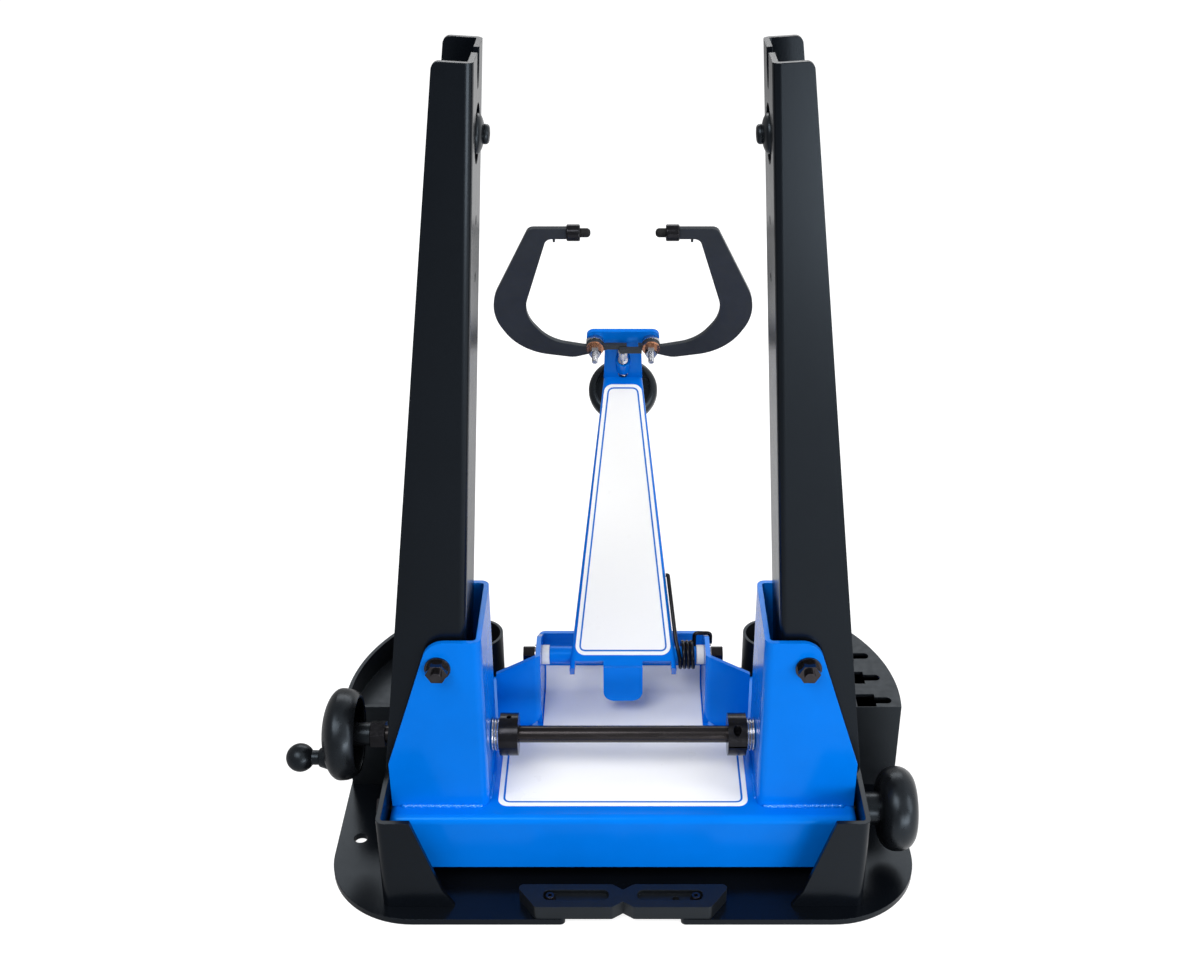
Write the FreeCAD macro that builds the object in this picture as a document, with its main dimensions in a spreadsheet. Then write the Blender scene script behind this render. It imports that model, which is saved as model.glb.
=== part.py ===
"""Bicycle wheel truing stand with self-centring uprights on a tilting base.

Millimetres. X runs to the right, Y to the back and Z up. The origin is the middle of
the base plate's underside. Left pieces are modelled and mirrored, or the other way round,
so that both sides follow the same sizes. Everything stands at its rest position.
"""
import FreeCAD, Part
import math
import os
import re
import Sketcher
from FreeCAD import Placement, Rotation, Vector

# ---------------------------------------------------------------- driving dimensions

SIZES = (
    # tilting base
    ("plate_front", 132.5, "origin to the front edge"),
    ("plate_rear", 123, "origin to the rear edge"),
    ("plate_thick", 4, "base plate thickness"),
    ("plate_front_radius", 55, "front corners in plan"),
    ("plate_rear_radius", 120, "rear corners in plan"),
    ("notch_width", 68.8, "notch in the front edge"),
    ("notch_depth", 12.5, "notch in the front edge"),
    ("notch_radius", 3, "notch corners"),
    ("bench_hole", 8.5, "bench bolt holes"),
    ("bench_front_inset", 14, "front bench holes from the plate's side"),
    ("bench_front_y", 62.5, "front bench holes ahead of the origin"),
    ("bench_rear_x", 60, "rear bench holes from the centre line"),
    ("bench_rear_y", 105, "rear bench holes behind the origin"),
    ("wall_gap", 1, "tilting frame to side wall"),
    ("wall_sheet", 3, "side wall sheet"),
    ("wall_top", 68.5, "side wall, top edge"),
    ("wall_front", 121.8, "side wall, front face ahead of the origin"),
    ("wall_rear", 66, "side wall, rear end"),
    ("wall_bend", 5, "outer bend radius of the side wall"),
    ("gusset_crown", 19.7, "gusset width at the top"),
    ("gusset_waist", 36.5, "gusset width where it starts to flare"),
    ("gusset_waist_rise", 12, "height of the flare above the plate"),
    ("gusset_foot", 43.3, "gusset width on the plate"),
    ("tray_gap", 2, "side wall to tool tray"),
    ("tray_width", 34, "tray, side wall to the plate's side"),
    ("tray_front", 11, "tray front wall ahead of the origin"),
    ("tray_rear", 74, "tray rear end"),
    ("tray_top", 68, "tray rim"),
    ("tray_wall", 2.4, "tray wall"),
    ("dish_floor", 51, "floor of the left tray's dish"),
    ("keyhole_slot", 6.4, "slot width of the right tray's keyholes"),
    ("keyhole_head", 13, "width of the keyholes' heads"),
    ("keyhole_pitch", 24.5, "keyhole spacing"),
    ("keyhole_first", 4, "first keyhole ahead of the origin"),
    ("keyhole_inset", 5, "keyhole heads from the tray's inner side"),
    ("keyhole_reach", 22.7, "longest keyhole, head and slot"),
    ("keyhole_neck", 10.5, "slot beyond each keyhole's head"),
    ("keyhole_step", 4, "each keyhole slot shorter than the one before"),
    ("cup_x", 100, "small parts cups from the centre line"),
    ("cup_y", 72, "small parts cups behind the origin"),
    ("cup_outer", 34, "cup outside diameter"),
    ("cup_wall", 2, "cup wall"),
    ("cup_floor", 3, "cup floor"),
    ("block_front", 132, "front block, front face"),
    ("block_depth", 19, "front block, front to back"),
    ("block_front_half", 52, "front block, half width in front"),
    ("block_rear_half", 65, "front block, half width behind"),
    ("block_rise", 9.5, "front block height over the plate"),
    ("block_vee_half", 6.5, "half width of the vees between the block's lobes"),
    ("block_vee_depth", 4.6, "depth of the vees between the block's lobes"),
    ("block_slot", 8.2, "width of the recess in each lobe"),
    ("block_slot_depth", 3, "depth of the recess in each lobe"),
    ("block_slot_in", 8.5, "inner end of the recess from the centre line"),
    ("block_screw_x", 43.5, "front block screws"),
    ("block_screw_y", 122, "front block screws"),
    ("block_screw", 4, "front block screw thread"),
    ("block_screw_head", 7, "front block screw head"),
    ("block_screw_rise", 3, "front block screw head height"),
    ("block_hole_x", 31.5, "spare hole beside the right screw"),
    ("bumper", 16, "rest bumper diameter"),
    ("bumper_x", 110, "rest bumpers from the centre line"),
    ("bumper_y", 38.5, "rest bumpers behind the origin"),
    ("rest_gap", 0.2, "bumper to frame at rest"),
    # tilting frame
    ("frame_half", 140, "frame, half width"),
    ("frame_front", 100, "frame, front face ahead of the origin"),
    ("frame_rear", 45, "frame, rear face"),
    ("frame_top", 53, "frame, top face"),
    ("frame_bottom", 15, "frame, lower edge"),
    ("frame_sheet", 3, "frame sheet"),
    ("frame_bend", 4.5, "frame outer bend radius"),
    ("tilt_y", 80, "tilt axis ahead of the origin"),
    ("tilt_z", 43.8, "tilt axis height"),
    ("tilt_thread", 8, "tilt stud diameter"),
    ("tilt_head", 13, "tilt bolt head and nut, across flats"),
    ("tilt_knob", 51, "tilt knob diameter"),
    ("tilt_knob_gap", 11.5, "side wall to the tilt knob's dome"),
    ("tilt_knob_thick", 22, "tilt knob dome thickness"),
    ("tilt_hub", 20, "tilt knob hub diameter"),
    ("cheek_in", 80.5, "cheek, inboard face"),
    ("cheek_sheet", 3, "cheek sheet"),
    ("cheek_bend", 5, "cheek outer bend radius"),
    ("cheek_inset", 1, "cheek's foot to the frame's side"),
    ("cheek_shoulder", 85, "height where the cheek starts to narrow"),
    ("cheek_crown", 110.8, "cheek outer edge at its top"),
    ("cheek_top", 172, "cheek top edge"),
    ("cheek_radius", 13, "cheek top corner"),
    ("cheek_gap", 2, "upright flange to cheek plate"),
    ("running_fit", 0.05, "radial clearance of turning fits"),
    # uprights
    ("upright_y", 55.5, "upright centre plane ahead of the origin"),
    ("upright_depth", 56, "upright channel, front to back"),
    ("upright_sheet", 3, "upright sheet"),
    ("upright_bend", 4, "upright outer bend radius"),
    ("upright_lean", 3.53, "inward lean at rest, degrees"),
    ("pivot_x", 105.8, "upright pivot from the centre line"),
    ("pivot_z", 155, "upright pivot height"),
    ("pivot_bolt", 6.35, "upright pivot bolt"),
    ("pivot_flats", 11, "pivot nut and head, across flats"),
    ("pivot_nut", 5.5, "pivot nut thickness"),
    ("pivot_washer", 15, "pivot washer diameter"),
    ("pivot_washer_thick", 1.3, "pivot washer thickness"),
    ("spacer_gap", 0.1, "pivot spacer side clearance"),
    ("pivot_stud", 3, "pivot bolt end past its nut"),
    ("web_in", 15.5, "pivot to the web's inboard face"),
    ("upright_rise", 341.6, "pivot to the upright's top, along it"),
    ("upright_drop", 87, "pivot to the upright's foot, along it"),
    ("flange_crown", 4.2, "flange edge at the top, outboard of the pivot"),
    ("flange_foot", 31.7, "flange edge at the foot, outboard of the pivot"),
    ("flange_top_radius", 4, "flange top corner"),
    ("flange_foot_radius", 10, "flange foot corner"),
    ("axle_slot", 12, "axle slot mouth width"),
    ("axle_slot_straight", 9, "axle slot, straight part"),
    ("axle_slot_depth", 18.5, "axle slot, whole depth"),
    ("axle_slot_seat", 5, "axle slot width at its seat"),
    ("dome_hole", 30, "hole in the web round the dome"),
    ("dome_drop", 40.8, "upright top to the dome, along it"),
    ("dome", 20, "dome diameter"),
    ("dome_proud", 3, "dome inboard of the web"),
    ("dome_taper", 14, "dome diameter at its inboard end"),
    ("dome_screw", 5, "dome screw thread"),
    ("dome_button", 9, "dome screw head"),
    ("dome_button_thick", 3, "dome screw head thickness"),
    ("strap_width", 16, "carrier strap width"),
    ("strap_length", 46, "carrier strap length"),
    ("web_hole", 5, "small web holes"),
    ("web_hole_first", 85.5, "upright top to the first small hole"),
    ("web_hole_pitch", 30.6, "small web hole spacing"),
    # spindle
    ("spindle_z", 81.5, "spindle axis height"),
    ("spindle", 10.4, "spindle diameter"),
    ("spindle_right", 130, "spindle right end"),
    ("spindle_web_hole", 17, "spindle hole in the upright web"),
    ("nut_barrel", 17.4, "traveller nut barrel"),
    ("nut_side_gap", 0.5, "traveller nut to flange"),
    ("nut_pin", 8, "traveller nut trunnion"),
    ("nut_pin_gap", 0.7, "trunnion to its flange hole, radial"),
    ("nut_offset", 3.4, "trunnion inboard of the pivot, along the upright"),
    ("collar", 26, "spindle collar diameter"),
    ("collar_long", 11.2, "spindle collar length"),
    ("collar_screw", 3, "collar screw thread"),
    ("collar_screw_head", 5, "collar screw head"),
    ("collar_screw_y", 8.6, "collar screws from the spindle axis"),
    ("collar_screw_seat", 3.5, "collar screw head's seat above the axis"),
    ("collar_screw_end", 7, "collar screw's lower end below the axis"),
    ("collar_split", 1.2, "gap between the clamp collar's halves"),
    ("thrust_washer", 20, "thrust washer diameter"),
    ("thrust_thick", 1.7, "thrust washer thickness"),
    ("thrust_gap", 0.1, "thrust washer side clearance"),
    ("jam_gap", 1, "side wall to the jam nut"),
    ("jam_thick", 9, "jam nut thickness"),
    ("jam_flats", 15, "jam nut across flats"),
    ("hub", 14, "handwheel hub"),
    ("wheel", 56, "handwheel diameter"),
    ("wheel_gap", 7, "jam nut to the handwheel's rim"),
    ("wheel_thick", 22.6, "handwheel rim, side to side"),
    ("wheel_round", 9.5, "handwheel rim rounding"),
    ("wheel_shell", 3, "handwheel shell"),
    ("wheel_rib", 2, "handwheel ribs"),
    ("wheel_ribs", 6, "number of handwheel ribs"),
    ("crank_drop", 15, "crank handle below the spindle axis"),
    ("crank_forward", 4, "crank handle ahead of the spindle axis"),
    ("crank_boss", 11.6, "crank boss diameter"),
    ("crank_boss_thick", 3, "crank boss thickness"),
    ("crank_pin", 4, "crank pin"),
    ("crank_ball", 17.5, "crank handle ball"),
    ("crank_neck", 9, "crank handle neck"),
    ("crank_reach", 11.8, "crank boss to the ball's centre"),
    # ear bracket and arm pivot
    ("ear_y", 11.5, "wing front face ahead of the origin"),
    ("ear_x", 55.4, "ear outer face"),
    ("ear_sheet", 3, "ear sheet"),
    ("ear_rear", 40, "rear wall, rear face"),
    ("ear_top", 107, "ear top edge"),
    ("wing_top", 94, "wing top edge at the cheek"),
    ("ear_level", 12, "ear top stays level up to here"),
    ("rear_top", 92, "rear wall top edge"),
    ("ear_cutout", 12, "round cut at the wing's inner foot"),
    ("rear_bend", 12, "bend from the frame top up the rear wall"),
    ("arm_y", 13, "arm pivot behind the origin"),
    ("arm_z", 92, "arm pivot height"),
    ("arm_bolt", 6.35, "arm pivot bolt"),
    ("arm_bolt_head", 10.5, "arm pivot bolt head and nut"),
    ("arm_bolt_head_thick", 7.5, "arm pivot bolt head and nut thickness"),
    ("arm_tube", 11.2, "arm pivot tube"),
    ("arm_plain_washer", 13, "plain washers under the arm bolt's head and nut"),
    ("arm_plain_thick", 1.6, "plain washer thickness"),
    ("arm_washer", 12.6, "nylon washer diameter"),
    ("arm_washer_thick", 4.6, "nylon washer thickness"),
    ("side_gap", 0.15, "side clearance of the arm's pivot"),
    # arm
    ("arm_lean", 52, "arm's backward lean at rest, degrees"),
    ("arm_sheet", 3, "arm sheet"),
    ("arm_bend", 3.2, "arm outer bend radius"),
    ("arm_front", 8, "pivot to the arm's front face"),
    ("arm_back", 6.5, "pivot to the edge of the arm's flanges"),
    ("arm_foot", 34.0, "arm half width at its foot"),
    ("arm_foot_drop", 6.7, "arm face below the pivot"),
    ("arm_tab_drop", 11.5, "flange tabs below the pivot"),
    ("arm_crown", 13.4, "arm half width at the bend"),
    ("arm_long", 198, "pivot to the bend, along the arm"),
    ("tongue_half", 12.6, "tongue half width"),
    ("tongue_straight", 6, "tongue in line with the face"),
    ("tongue_drop", 24.5, "tongue below its bend"),
    ("tongue_radius", 7, "tongue corners"),
    # head plate
    ("head_tilt", 20, "head's forward tilt, degrees"),
    ("head_long", 42.8, "bend to the head's top edge"),
    ("head_half", 24.6, "head half width"),
    ("head_low", 28.8, "bend to the head's lower edge"),
    ("head_radius", 5, "head corners"),
    ("neck_half", 12.4, "neck half width under the head"),
    ("stud_x", 18.9, "caliper studs from the centre line"),
    ("stud_h", 34.1, "caliper studs above the bend"),
    ("stud", 4, "caliper stud diameter"),
    ("stud_reach", 20.5, "stud length ahead of the head"),
    ("caliper_sheet", 2.8, "caliper thickness"),
    ("caliper_gap", 0.2, "gap between stacked pieces"),
    ("spacer", 12.2, "stud spacer diameter"),
    ("spacer_thick", 3.3, "spacers behind the calipers"),
    ("copper_washer", 11.8, "copper washer diameter"),
    ("copper_thick", 1.2, "copper washer thickness"),
    ("stud_nut", 7, "stud nut across flats"),
    ("stud_nut_thick", 5.5, "stud nut thickness"),
    # caliper outline, from the centre line and above the bend, left caliper
    ("lever_end", 2.5, "lever end beyond the centre line"),
    ("lever_top", 36, "lever upper edge"),
    ("lever_low", 32.2, "lever lower edge"),
    ("lever_root_x", 10.2, "inner end of the caliper's own layer"),
    ("lever_step_x", 12.7, "right lever's step to the front layer"),
    ("lever_fall", 0.8, "right lever below the left one"),
    ("inner_root_x", 25.5, "inner edge beside the stud"),
    ("inner_root_h", 35, "inner edge beside the stud"),
    ("inner_knee_x", 49.5, "inner edge, first bend"),
    ("inner_knee_h", 40.2, "inner edge, first bend"),
    ("inner_elbow_x", 66.3, "inner edge, elbow"),
    ("inner_elbow_h", 64.6, "inner edge, elbow"),
    ("inner_tip_x", 48.5, "inner corner under the tip"),
    ("inner_tip_h", 128.2, "lower edge of the tip"),
    ("tip_root_x", 35.5, "caliper end at the sleeve"),
    ("outer_tip_x", 59.3, "outer top corner"),
    ("tip_depth", 8.2, "caliper's end, top to bottom"),
    ("outer_elbow_x", 89.6, "outer edge, elbow"),
    ("outer_elbow_h", 68, "outer edge, elbow"),
    ("outer_knee_x", 69.4, "outer edge, lower bend"),
    ("outer_knee_h", 31, "outer edge, lower bend"),
    ("outer_root_x", 33.5, "outer edge under the stud"),
    ("outer_root_h", 25, "outer edge under the stud"),
    ("caliper_round", 14, "rounding of the caliper's lower edge"),
    ("outer_bend_spare", 3.2, "outer knee to elbow, less the rounding there"),
    ("inner_bend_spare", 0.8, "inner knee to elbow, less the rounding there"),
    ("caliper_tip_bend", 5, "rounding beside the caliper's tip"),
    ("caliper_eye", 11, "caliper's eye round its stud"),
    ("sleeve", 10.6, "caliper tip sleeve"),
    ("sleeve_long", 8.6, "caliper tip sleeve length"),
    ("tip", 5.8, "caliper tip diameter"),
    ("tip_long", 6.5, "caliper tip beyond its sleeve"),
    ("tip_pin", 1.6, "peg under the caliper's tip, diameter"),
    ("tip_pin_x", 43.6, "peg from the centre line"),
    ("tip_pin_reach", 3, "peg below the tip"),
    # caliper screw
    ("cscrew", 7, "caliper screw"),
    ("cscrew_rise", 4.5, "caliper screw axis beyond the arm's bend, along the arm"),
    ("cscrew_tip", 39.1, "caliper screw pad, front end"),
    ("cscrew_pad_long", 8, "caliper screw pad length"),
    ("cscrew_nose", 6, "pad nose diameter"),
    ("cscrew_bevel", 0.8, "bevel of the pad's nose"),
    ("guide", 10, "guide tube outside diameter"),
    ("guide_front", 24, "guide tube, front end"),
    ("guide_back", 12, "guide tube, back end"),
    ("bush", 14, "caliper screw bush"),
    ("bush_long", 12, "caliper screw bush length"),
    ("cknob", 49, "caliper knob"),
    ("cknob_start", 16, "caliper knob, front rim"),
    ("cknob_thick", 12, "caliper knob thickness"),
    ("cknob_round", 5, "caliper knob rounding"),
    ("cknob_dish", 7, "depth of the caliper knob's dish"),
    ("cknob_rim", 5, "caliper knob rim"),
    # arm screw
    ("ascrew", 8, "arm screw"),
    ("ascrew_z", 75, "arm screw height"),
    ("ascrew_pad", 7, "arm screw pad diameter"),
    ("ascrew_pad_long", 5, "arm screw pad length"),
    ("ascrew_nose", 6, "radius of the pad's domed nose"),
    ("ascrew_gap", 0.3, "arm screw pad to the tongue"),
    ("ascrew_nut", 16, "arm screw nut across flats"),
    ("ascrew_nut_long", 10, "arm screw nut length"),
    ("aknob", 36, "arm knob diameter"),
    ("aknob_start", 60, "arm knob, front face"),
    ("aknob_thick", 16, "arm knob thickness"),
    # spring
    ("wire", 2.6, "spring wire"),
    ("coil", 19, "spring outside diameter"),
    ("coil_start", 36.4, "first coil from the centre line"),
    ("coil_pitch", 2.75, "coil spacing"),
    ("coil_turns", 4, "turns of the spring, near enough"),
    ("coil_clear", 0.2, "spring leg to the arm's flange"),
    ("leg_long", 52, "spring leg along the arm"),
    # stickers
    ("sticker", 0.3, "sticker thickness"),
    ("top_sticker_half", 75.5, "frame sticker, half width"),
    ("top_sticker_front", 88.5, "frame sticker, front edge"),
    ("top_sticker_waist", 15, "frame sticker narrows here"),
    ("top_sticker_tongue", 51.6, "frame sticker between the ears, half width"),
    ("top_sticker_rise", 66, "frame sticker, upper edge on the rear wall"),
    ("sticker_radius", 6, "sticker corners"),
    ("arm_sticker_foot", 31.2, "arm sticker half width, foot"),
    ("arm_sticker_low", 2.7, "arm sticker, lower edge below the pivot"),
    ("arm_sticker_crown", 12.6, "arm sticker half width, top"),
    ("arm_sticker_gap", 6, "arm sticker's upper edge to the bend"),
)

# ---------------------------------------------------------------- places worked out from them

PLACES = (
    ("wall_in", "frame_half + wall_gap"),
    ("wall_x", "wall_in + wall_sheet"),
    ("tray_in", "wall_x + tray_gap"),
    ("plate_width", "2 * (tray_in + tray_width)"),
    ("bench_front_x", "plate_width / 2 - bench_front_inset"),
    ("keyhole_head_x", "tray_in + keyhole_inset"),
    ("tray_round_x", "plate_width / 2 - plate_rear_radius"),
    ("tray_round_y", "plate_rear - plate_rear_radius"),
    ("block_top", "plate_thick + block_rise"),
    ("cheek_half", "upright_depth / 2 + cheek_gap + cheek_sheet"),
    ("cheek_foot", "frame_half - cheek_inset"),
    ("cheek_front", "-upright_y - cheek_half"),
    ("cheek_rear", "-upright_y + cheek_half"),
    ("cheek_hollow", "cheek_in + cheek_sheet"),
    ("web_out", "web_in - upright_sheet"),
    ("upright_half", "upright_depth / 2"),
    ("flange_in", "upright_half - upright_sheet"),
    ("flange_slope", "(flange_foot - flange_crown) / (upright_rise + upright_drop)"),
    ("spindle_below", "pivot_z - spindle_z"),
    ("web_middle", "web_in - upright_sheet / 2"),
    ("spindle_in_web", "(web_middle * sin(upright_lean) - spindle_below) / cos(upright_lean)"),
    ("nut_drop", "(spindle_below - nut_offset * sin(upright_lean)) / cos(upright_lean)"),
    ("nut_x", "pivot_x - nut_offset * cos(upright_lean) + nut_drop * sin(upright_lean)"),
    ("nut_half", "flange_in - nut_side_gap"),
    ("dome_v", "upright_rise - dome_drop"),
    ("thrust_room", "3 * thrust_thick + 4 * thrust_gap"),
    ("collar_out", "cheek_in - thrust_room"),
    ("collar_in", "collar_out - collar_long"),
    ("tilt_knob_start", "wall_x + tilt_knob_gap"),
    ("jam_start", "wall_x + jam_gap"),
    ("jam_end", "jam_start + jam_thick"),
    ("wheel_start", "jam_end + wheel_gap"),
    ("wheel_end", "wheel_start + wheel_thick"),
    ("crank_y", "-upright_y - crank_forward"),
    ("crank_z", "spindle_z - crank_drop"),
    ("crank_boss_end", "wheel_end + crank_boss_thick"),
    ("crank_ball_x", "crank_boss_end + crank_reach"),
    ("ear_in", "ear_x - ear_sheet"),
    ("rear_front", "ear_rear - ear_sheet"),
    ("arm_washer_in", "ear_in - side_gap - arm_washer_thick"),
    ("tube_half", "arm_washer_in - side_gap"),
    ("arm_slope", "(arm_foot - arm_crown) / (arm_long + arm_foot_drop)"),
    ("bend_y", "arm_y + arm_long * sin(arm_lean) - arm_front * cos(arm_lean)"),
    ("bend_z", "arm_z + arm_long * cos(arm_lean) + arm_front * sin(arm_lean)"),
    ("left_layer", "spacer_thick + caliper_gap"),
    ("right_layer", "left_layer + caliper_sheet + caliper_gap"),
    ("outer_side", "sqrt((outer_elbow_x - outer_knee_x) ^ 2 + (outer_elbow_h - outer_knee_h) ^ 2)"),
    ("inner_side", "sqrt((inner_elbow_x - inner_knee_x) ^ 2 + (inner_elbow_h - inner_knee_h) ^ 2)"),
    ("caliper_outer_bend", "outer_side - outer_bend_spare"),
    ("caliper_inner_bend", "inner_side - inner_bend_spare"),
    ("outer_tip_h", "inner_tip_h + tip_depth"),
    ("tip_h", "(inner_tip_h + outer_tip_h) / 2"),
    ("cscrew_v", "arm_long + cscrew_rise"),
    ("arm_sticker_high", "arm_long - arm_sticker_gap"),
    ("bush_start", "arm_sheet - arm_front"),
    ("tongue_y", "arm_y - (arm_foot_drop + tongue_straight) * sin(arm_lean)"),
    ("tongue_face", "tongue_y - arm_front * cos(arm_lean)"),
    ("tongue_back", "tongue_face + arm_sheet"),
    ("coil_radius", "(coil - wire) / 2"),
)

SIZE_NAMES = {row[0] for row in SIZES}
PLACE_NAMES = {row[0] for row in PLACES}

doc = FreeCAD.newDocument("truing_stand")
sizes = doc.addObject("Spreadsheet::Sheet", "Sizes")
for row, (alias, number, meaning) in enumerate(SIZES, 1):
    sizes.set(f"A{row}", alias)
    sizes.set(f"B{row}", str(number))
    sizes.setAlias(f"B{row}", alias)
    sizes.set(f"C{row}", meaning)


def formula(text, own_sheet=False):
    """Write the sheet's name before every alias in a formula."""
    def named(match):
        word = match.group(0)
        if word in SIZE_NAMES:
            return "Sizes." + word
        if word in PLACE_NAMES and not own_sheet:
            return "Places." + word
        return word
    return re.sub(r"[a-z]\w*", named, str(text))


places = doc.addObject("Spreadsheet::Sheet", "Places")
for row, (alias, text) in enumerate(PLACES, 1):
    places.set(f"A{row}", alias)
    places.set(f"B{row}", "=" + formula(text, own_sheet=True))
    places.setAlias(f"B{row}", alias)
doc.recompute()


def value(alias):
    """A size or a worked-out place as a number."""
    sheet = sizes if alias in SIZE_NAMES else places
    return float(sheet.get(alias))


# ---------------------------------------------------------------- building blocks

AXES = {
    "X": Rotation(Vector(0, 1, 0), 90),
    "Y": Rotation(Vector(1, 0, 0), -90),
    "Z": Rotation(),
}
PLANES = {
    "XY": Rotation(),
    "XZ": Rotation(Vector(1, 0, 0), 90),
    "YZ": Rotation(0.5, 0.5, 0.5, 0.5),
}


def bind(thing, **formulas):
    for name, text in formulas.items():
        thing.setExpression(name.replace("__", "."), formula(text))
    return thing


def locate(thing, x="0", y="0", z="0", axis=None, angle=None):
    """Bind where a piece stands and, if it leans, its angle about an axis."""
    if axis:
        thing.Placement = Placement(Vector(), Rotation(axis, 10))
        bind(thing, Placement__Rotation__Angle=angle)
    return bind(thing, Placement__Base__x=x, Placement__Base__y=y, Placement__Base__z=z)


def block(name, x_span, y_span, z_span):
    """A box from its three spans."""
    box = doc.addObject("Part::Box", name)
    bind(box, Length=f"({x_span[1]}) - ({x_span[0]})")
    bind(box, Width=f"({y_span[1]}) - ({y_span[0]})")
    bind(box, Height=f"({z_span[1]}) - ({z_span[0]})")
    return locate(box, x_span[0], y_span[0], z_span[0])


def along(thing, axis, start, across, up):
    """Stand a piece that was made along Z on its axis."""
    thing.Placement = Placement(Vector(), AXES[axis])
    spots = {"X": (start, across, up), "Y": (across, start, up), "Z": (across, up, start)}
    x, y, z = spots[axis]
    return bind(thing, Placement__Base__x=x, Placement__Base__y=y, Placement__Base__z=z)


def rod(name, axis, diameter, start, end, across="0", up="0"):
    cylinder = doc.addObject("Part::Cylinder", name)
    bind(cylinder, Radius=f"({diameter}) / 2", Height=f"({end}) - ({start})")
    return along(cylinder, axis, start, across, up)


def taper(name, axis, first, last, start, end, across="0", up="0"):
    cone = doc.addObject("Part::Cone", name)
    bind(cone, Radius1=f"({first}) / 2", Radius2=f"({last}) / 2", Height=f"({end}) - ({start})")
    return along(cone, axis, start, across, up)


def hexagon(name, axis, flats, start, end, across="0", up="0"):
    prism = doc.addObject("Part::Prism", name)
    prism.Polygon = 6
    bind(prism, Circumradius=f"({flats}) / sqrt(3)", Height=f"({end}) - ({start})")
    return along(prism, axis, start, across, up)


def ball(name, axis, diameter, middle, across="0", up="0"):
    sphere = doc.addObject("Part::Sphere", name)
    bind(sphere, Radius=f"({diameter}) / 2")
    return along(sphere, axis, middle, across, up)


def group(name, *members):
    compound = doc.addObject("Part::Compound", name)
    compound.Links = list(members)
    return compound


def fuse(name, *members):
    whole = doc.addObject("Part::MultiFuse", name)
    whole.Shapes = list(members)
    whole.Refine = True
    return whole


def cut(name, base, *tools):
    result = doc.addObject("Part::Cut", name)
    result.Base = base
    result.Tool = tools[0] if len(tools) == 1 else group(name + "_tools", *tools)
    result.Refine = True
    return result


def common(name, first, second):
    result = doc.addObject("Part::Common", name)
    result.Base = first
    result.Tool = second
    return result


def mirrored(name, source):
    twin = doc.addObject("Part::Mirroring", name)
    twin.Source = source
    twin.Normal = Vector(1, 0, 0)
    return twin


def tube(name, axis, outer, bore, start, end, across="0", up="0"):
    shell = rod(name + "_outer", axis, outer, start, end, across, up)
    hole = rod(name + "_bore", axis, bore, f"({start}) - 1", f"({end}) + 1", across, up)
    return cut(name, shell, hole)


def soften(name, base, radius, wanted):
    """Fillet the edges that the test picks."""
    doc.recompute()
    rounded = doc.addObject("Part::Fillet", name)
    rounded.Base = base
    picked = [n for n, edge in enumerate(base.Shape.Edges, 1) if wanted(edge)]
    rounded.Edges = [(n, radius, radius) for n in picked]
    return rounded


def draw(name, plane, level, outlines, circles, body=None):
    """A sketch whose corners, centres and diameters are all bound to formulas."""
    if body:
        sketch = body.newObject("Sketcher::SketchObject", name)
        role = plane + "_Plane"
        face = next(f for f in body.Origin.OriginFeatures if f.Role == role)
        sketch.AttachmentSupport = [(face, "")]
        sketch.MapMode = "FlatFace"
        bind(sketch, AttachmentOffset__Base__z=level)
    else:
        sketch = doc.addObject("Sketcher::SketchObject", name)
        sketch.Placement = Placement(Vector(), PLANES[plane])
        sign, letter = {"XY": ("", "z"), "XZ": ("-", "y"), "YZ": ("", "x")}[plane]
        bind(sketch, **{"Placement__Base__" + letter: f"{sign}({level})"})

    def pin(item, point, u, v):
        for kind, text in (("DistanceX", u), ("DistanceY", v)):
            number = sketch.addConstraint(Sketcher.Constraint(kind, -1, 1, item, point, 1.0))
            sketch.setExpression(f"Constraints[{number}]", formula(text))

    for outline in outlines:
        first = sketch.GeometryCount
        count = len(outline)
        turns = [2 * math.pi * k / count for k in range(count + 1)]
        start = [Vector(40 * math.cos(a), 40 * math.sin(a), 0) for a in turns]
        for k in range(count):
            sketch.addGeometry(Part.LineSegment(start[k], start[k + 1]), False)
        for k in range(count):
            following = first + (k + 1) % count
            sketch.addConstraint(Sketcher.Constraint("Coincident", first + k, 2, following, 1))
        for k, (u, v) in enumerate(outline):
            pin(first + k, 1, u, v)
    for u, v, diameter in circles:
        item = sketch.addGeometry(Part.Circle(Vector(), Vector(0, 0, 1), 1), False)
        pin(item, 3, u, v)
        number = sketch.addConstraint(Sketcher.Constraint("Diameter", item, 2.0))
        sketch.setExpression(f"Constraints[{number}]", formula(diameter))
    return sketch


def reach(plane, span):
    """Level and length of an extrusion; sketches on XZ look along -Y."""
    start, end = span
    level = f"-({end})" if plane == "XZ" else start
    return level, f"({end}) - ({start})"


def slab(name, plane, span, outline, circles=()):
    """An outline extruded over a span."""
    level, length = reach(plane, span)
    sketch = draw(name + "_sketch", plane, level, [outline], circles)
    extrusion = doc.addObject("Part::Extrusion", name)
    extrusion.Base = sketch
    extrusion.DirMode = "Normal"
    extrusion.Solid = True
    return bind(extrusion, LengthFwd=length)


def sheet_body(name):
    return doc.addObject("PartDesign::Body", name)


def pad(body, plane, span, outline, circles=()):
    level, length = reach(plane, span)
    feature_name = f"{body.Name}_pad"
    sketch = draw(feature_name + "_sketch", plane, level, [outline], circles, body)
    feature = body.newObject("PartDesign::Pad", feature_name)
    feature.Profile = sketch
    bind(feature, Length=length)
    return sketch


def pocket(body, plane, span, outlines=(), circles=()):
    level, length = reach(plane, span)
    feature_name = f"{body.Name}_pocket"
    sketch = draw(feature_name + "_sketch", plane, level, outlines, circles, body)
    feature = body.newObject("PartDesign::Pocket", feature_name)
    feature.Profile = sketch
    feature.Reversed = True
    bind(feature, Length=length)
    return sketch


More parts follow.
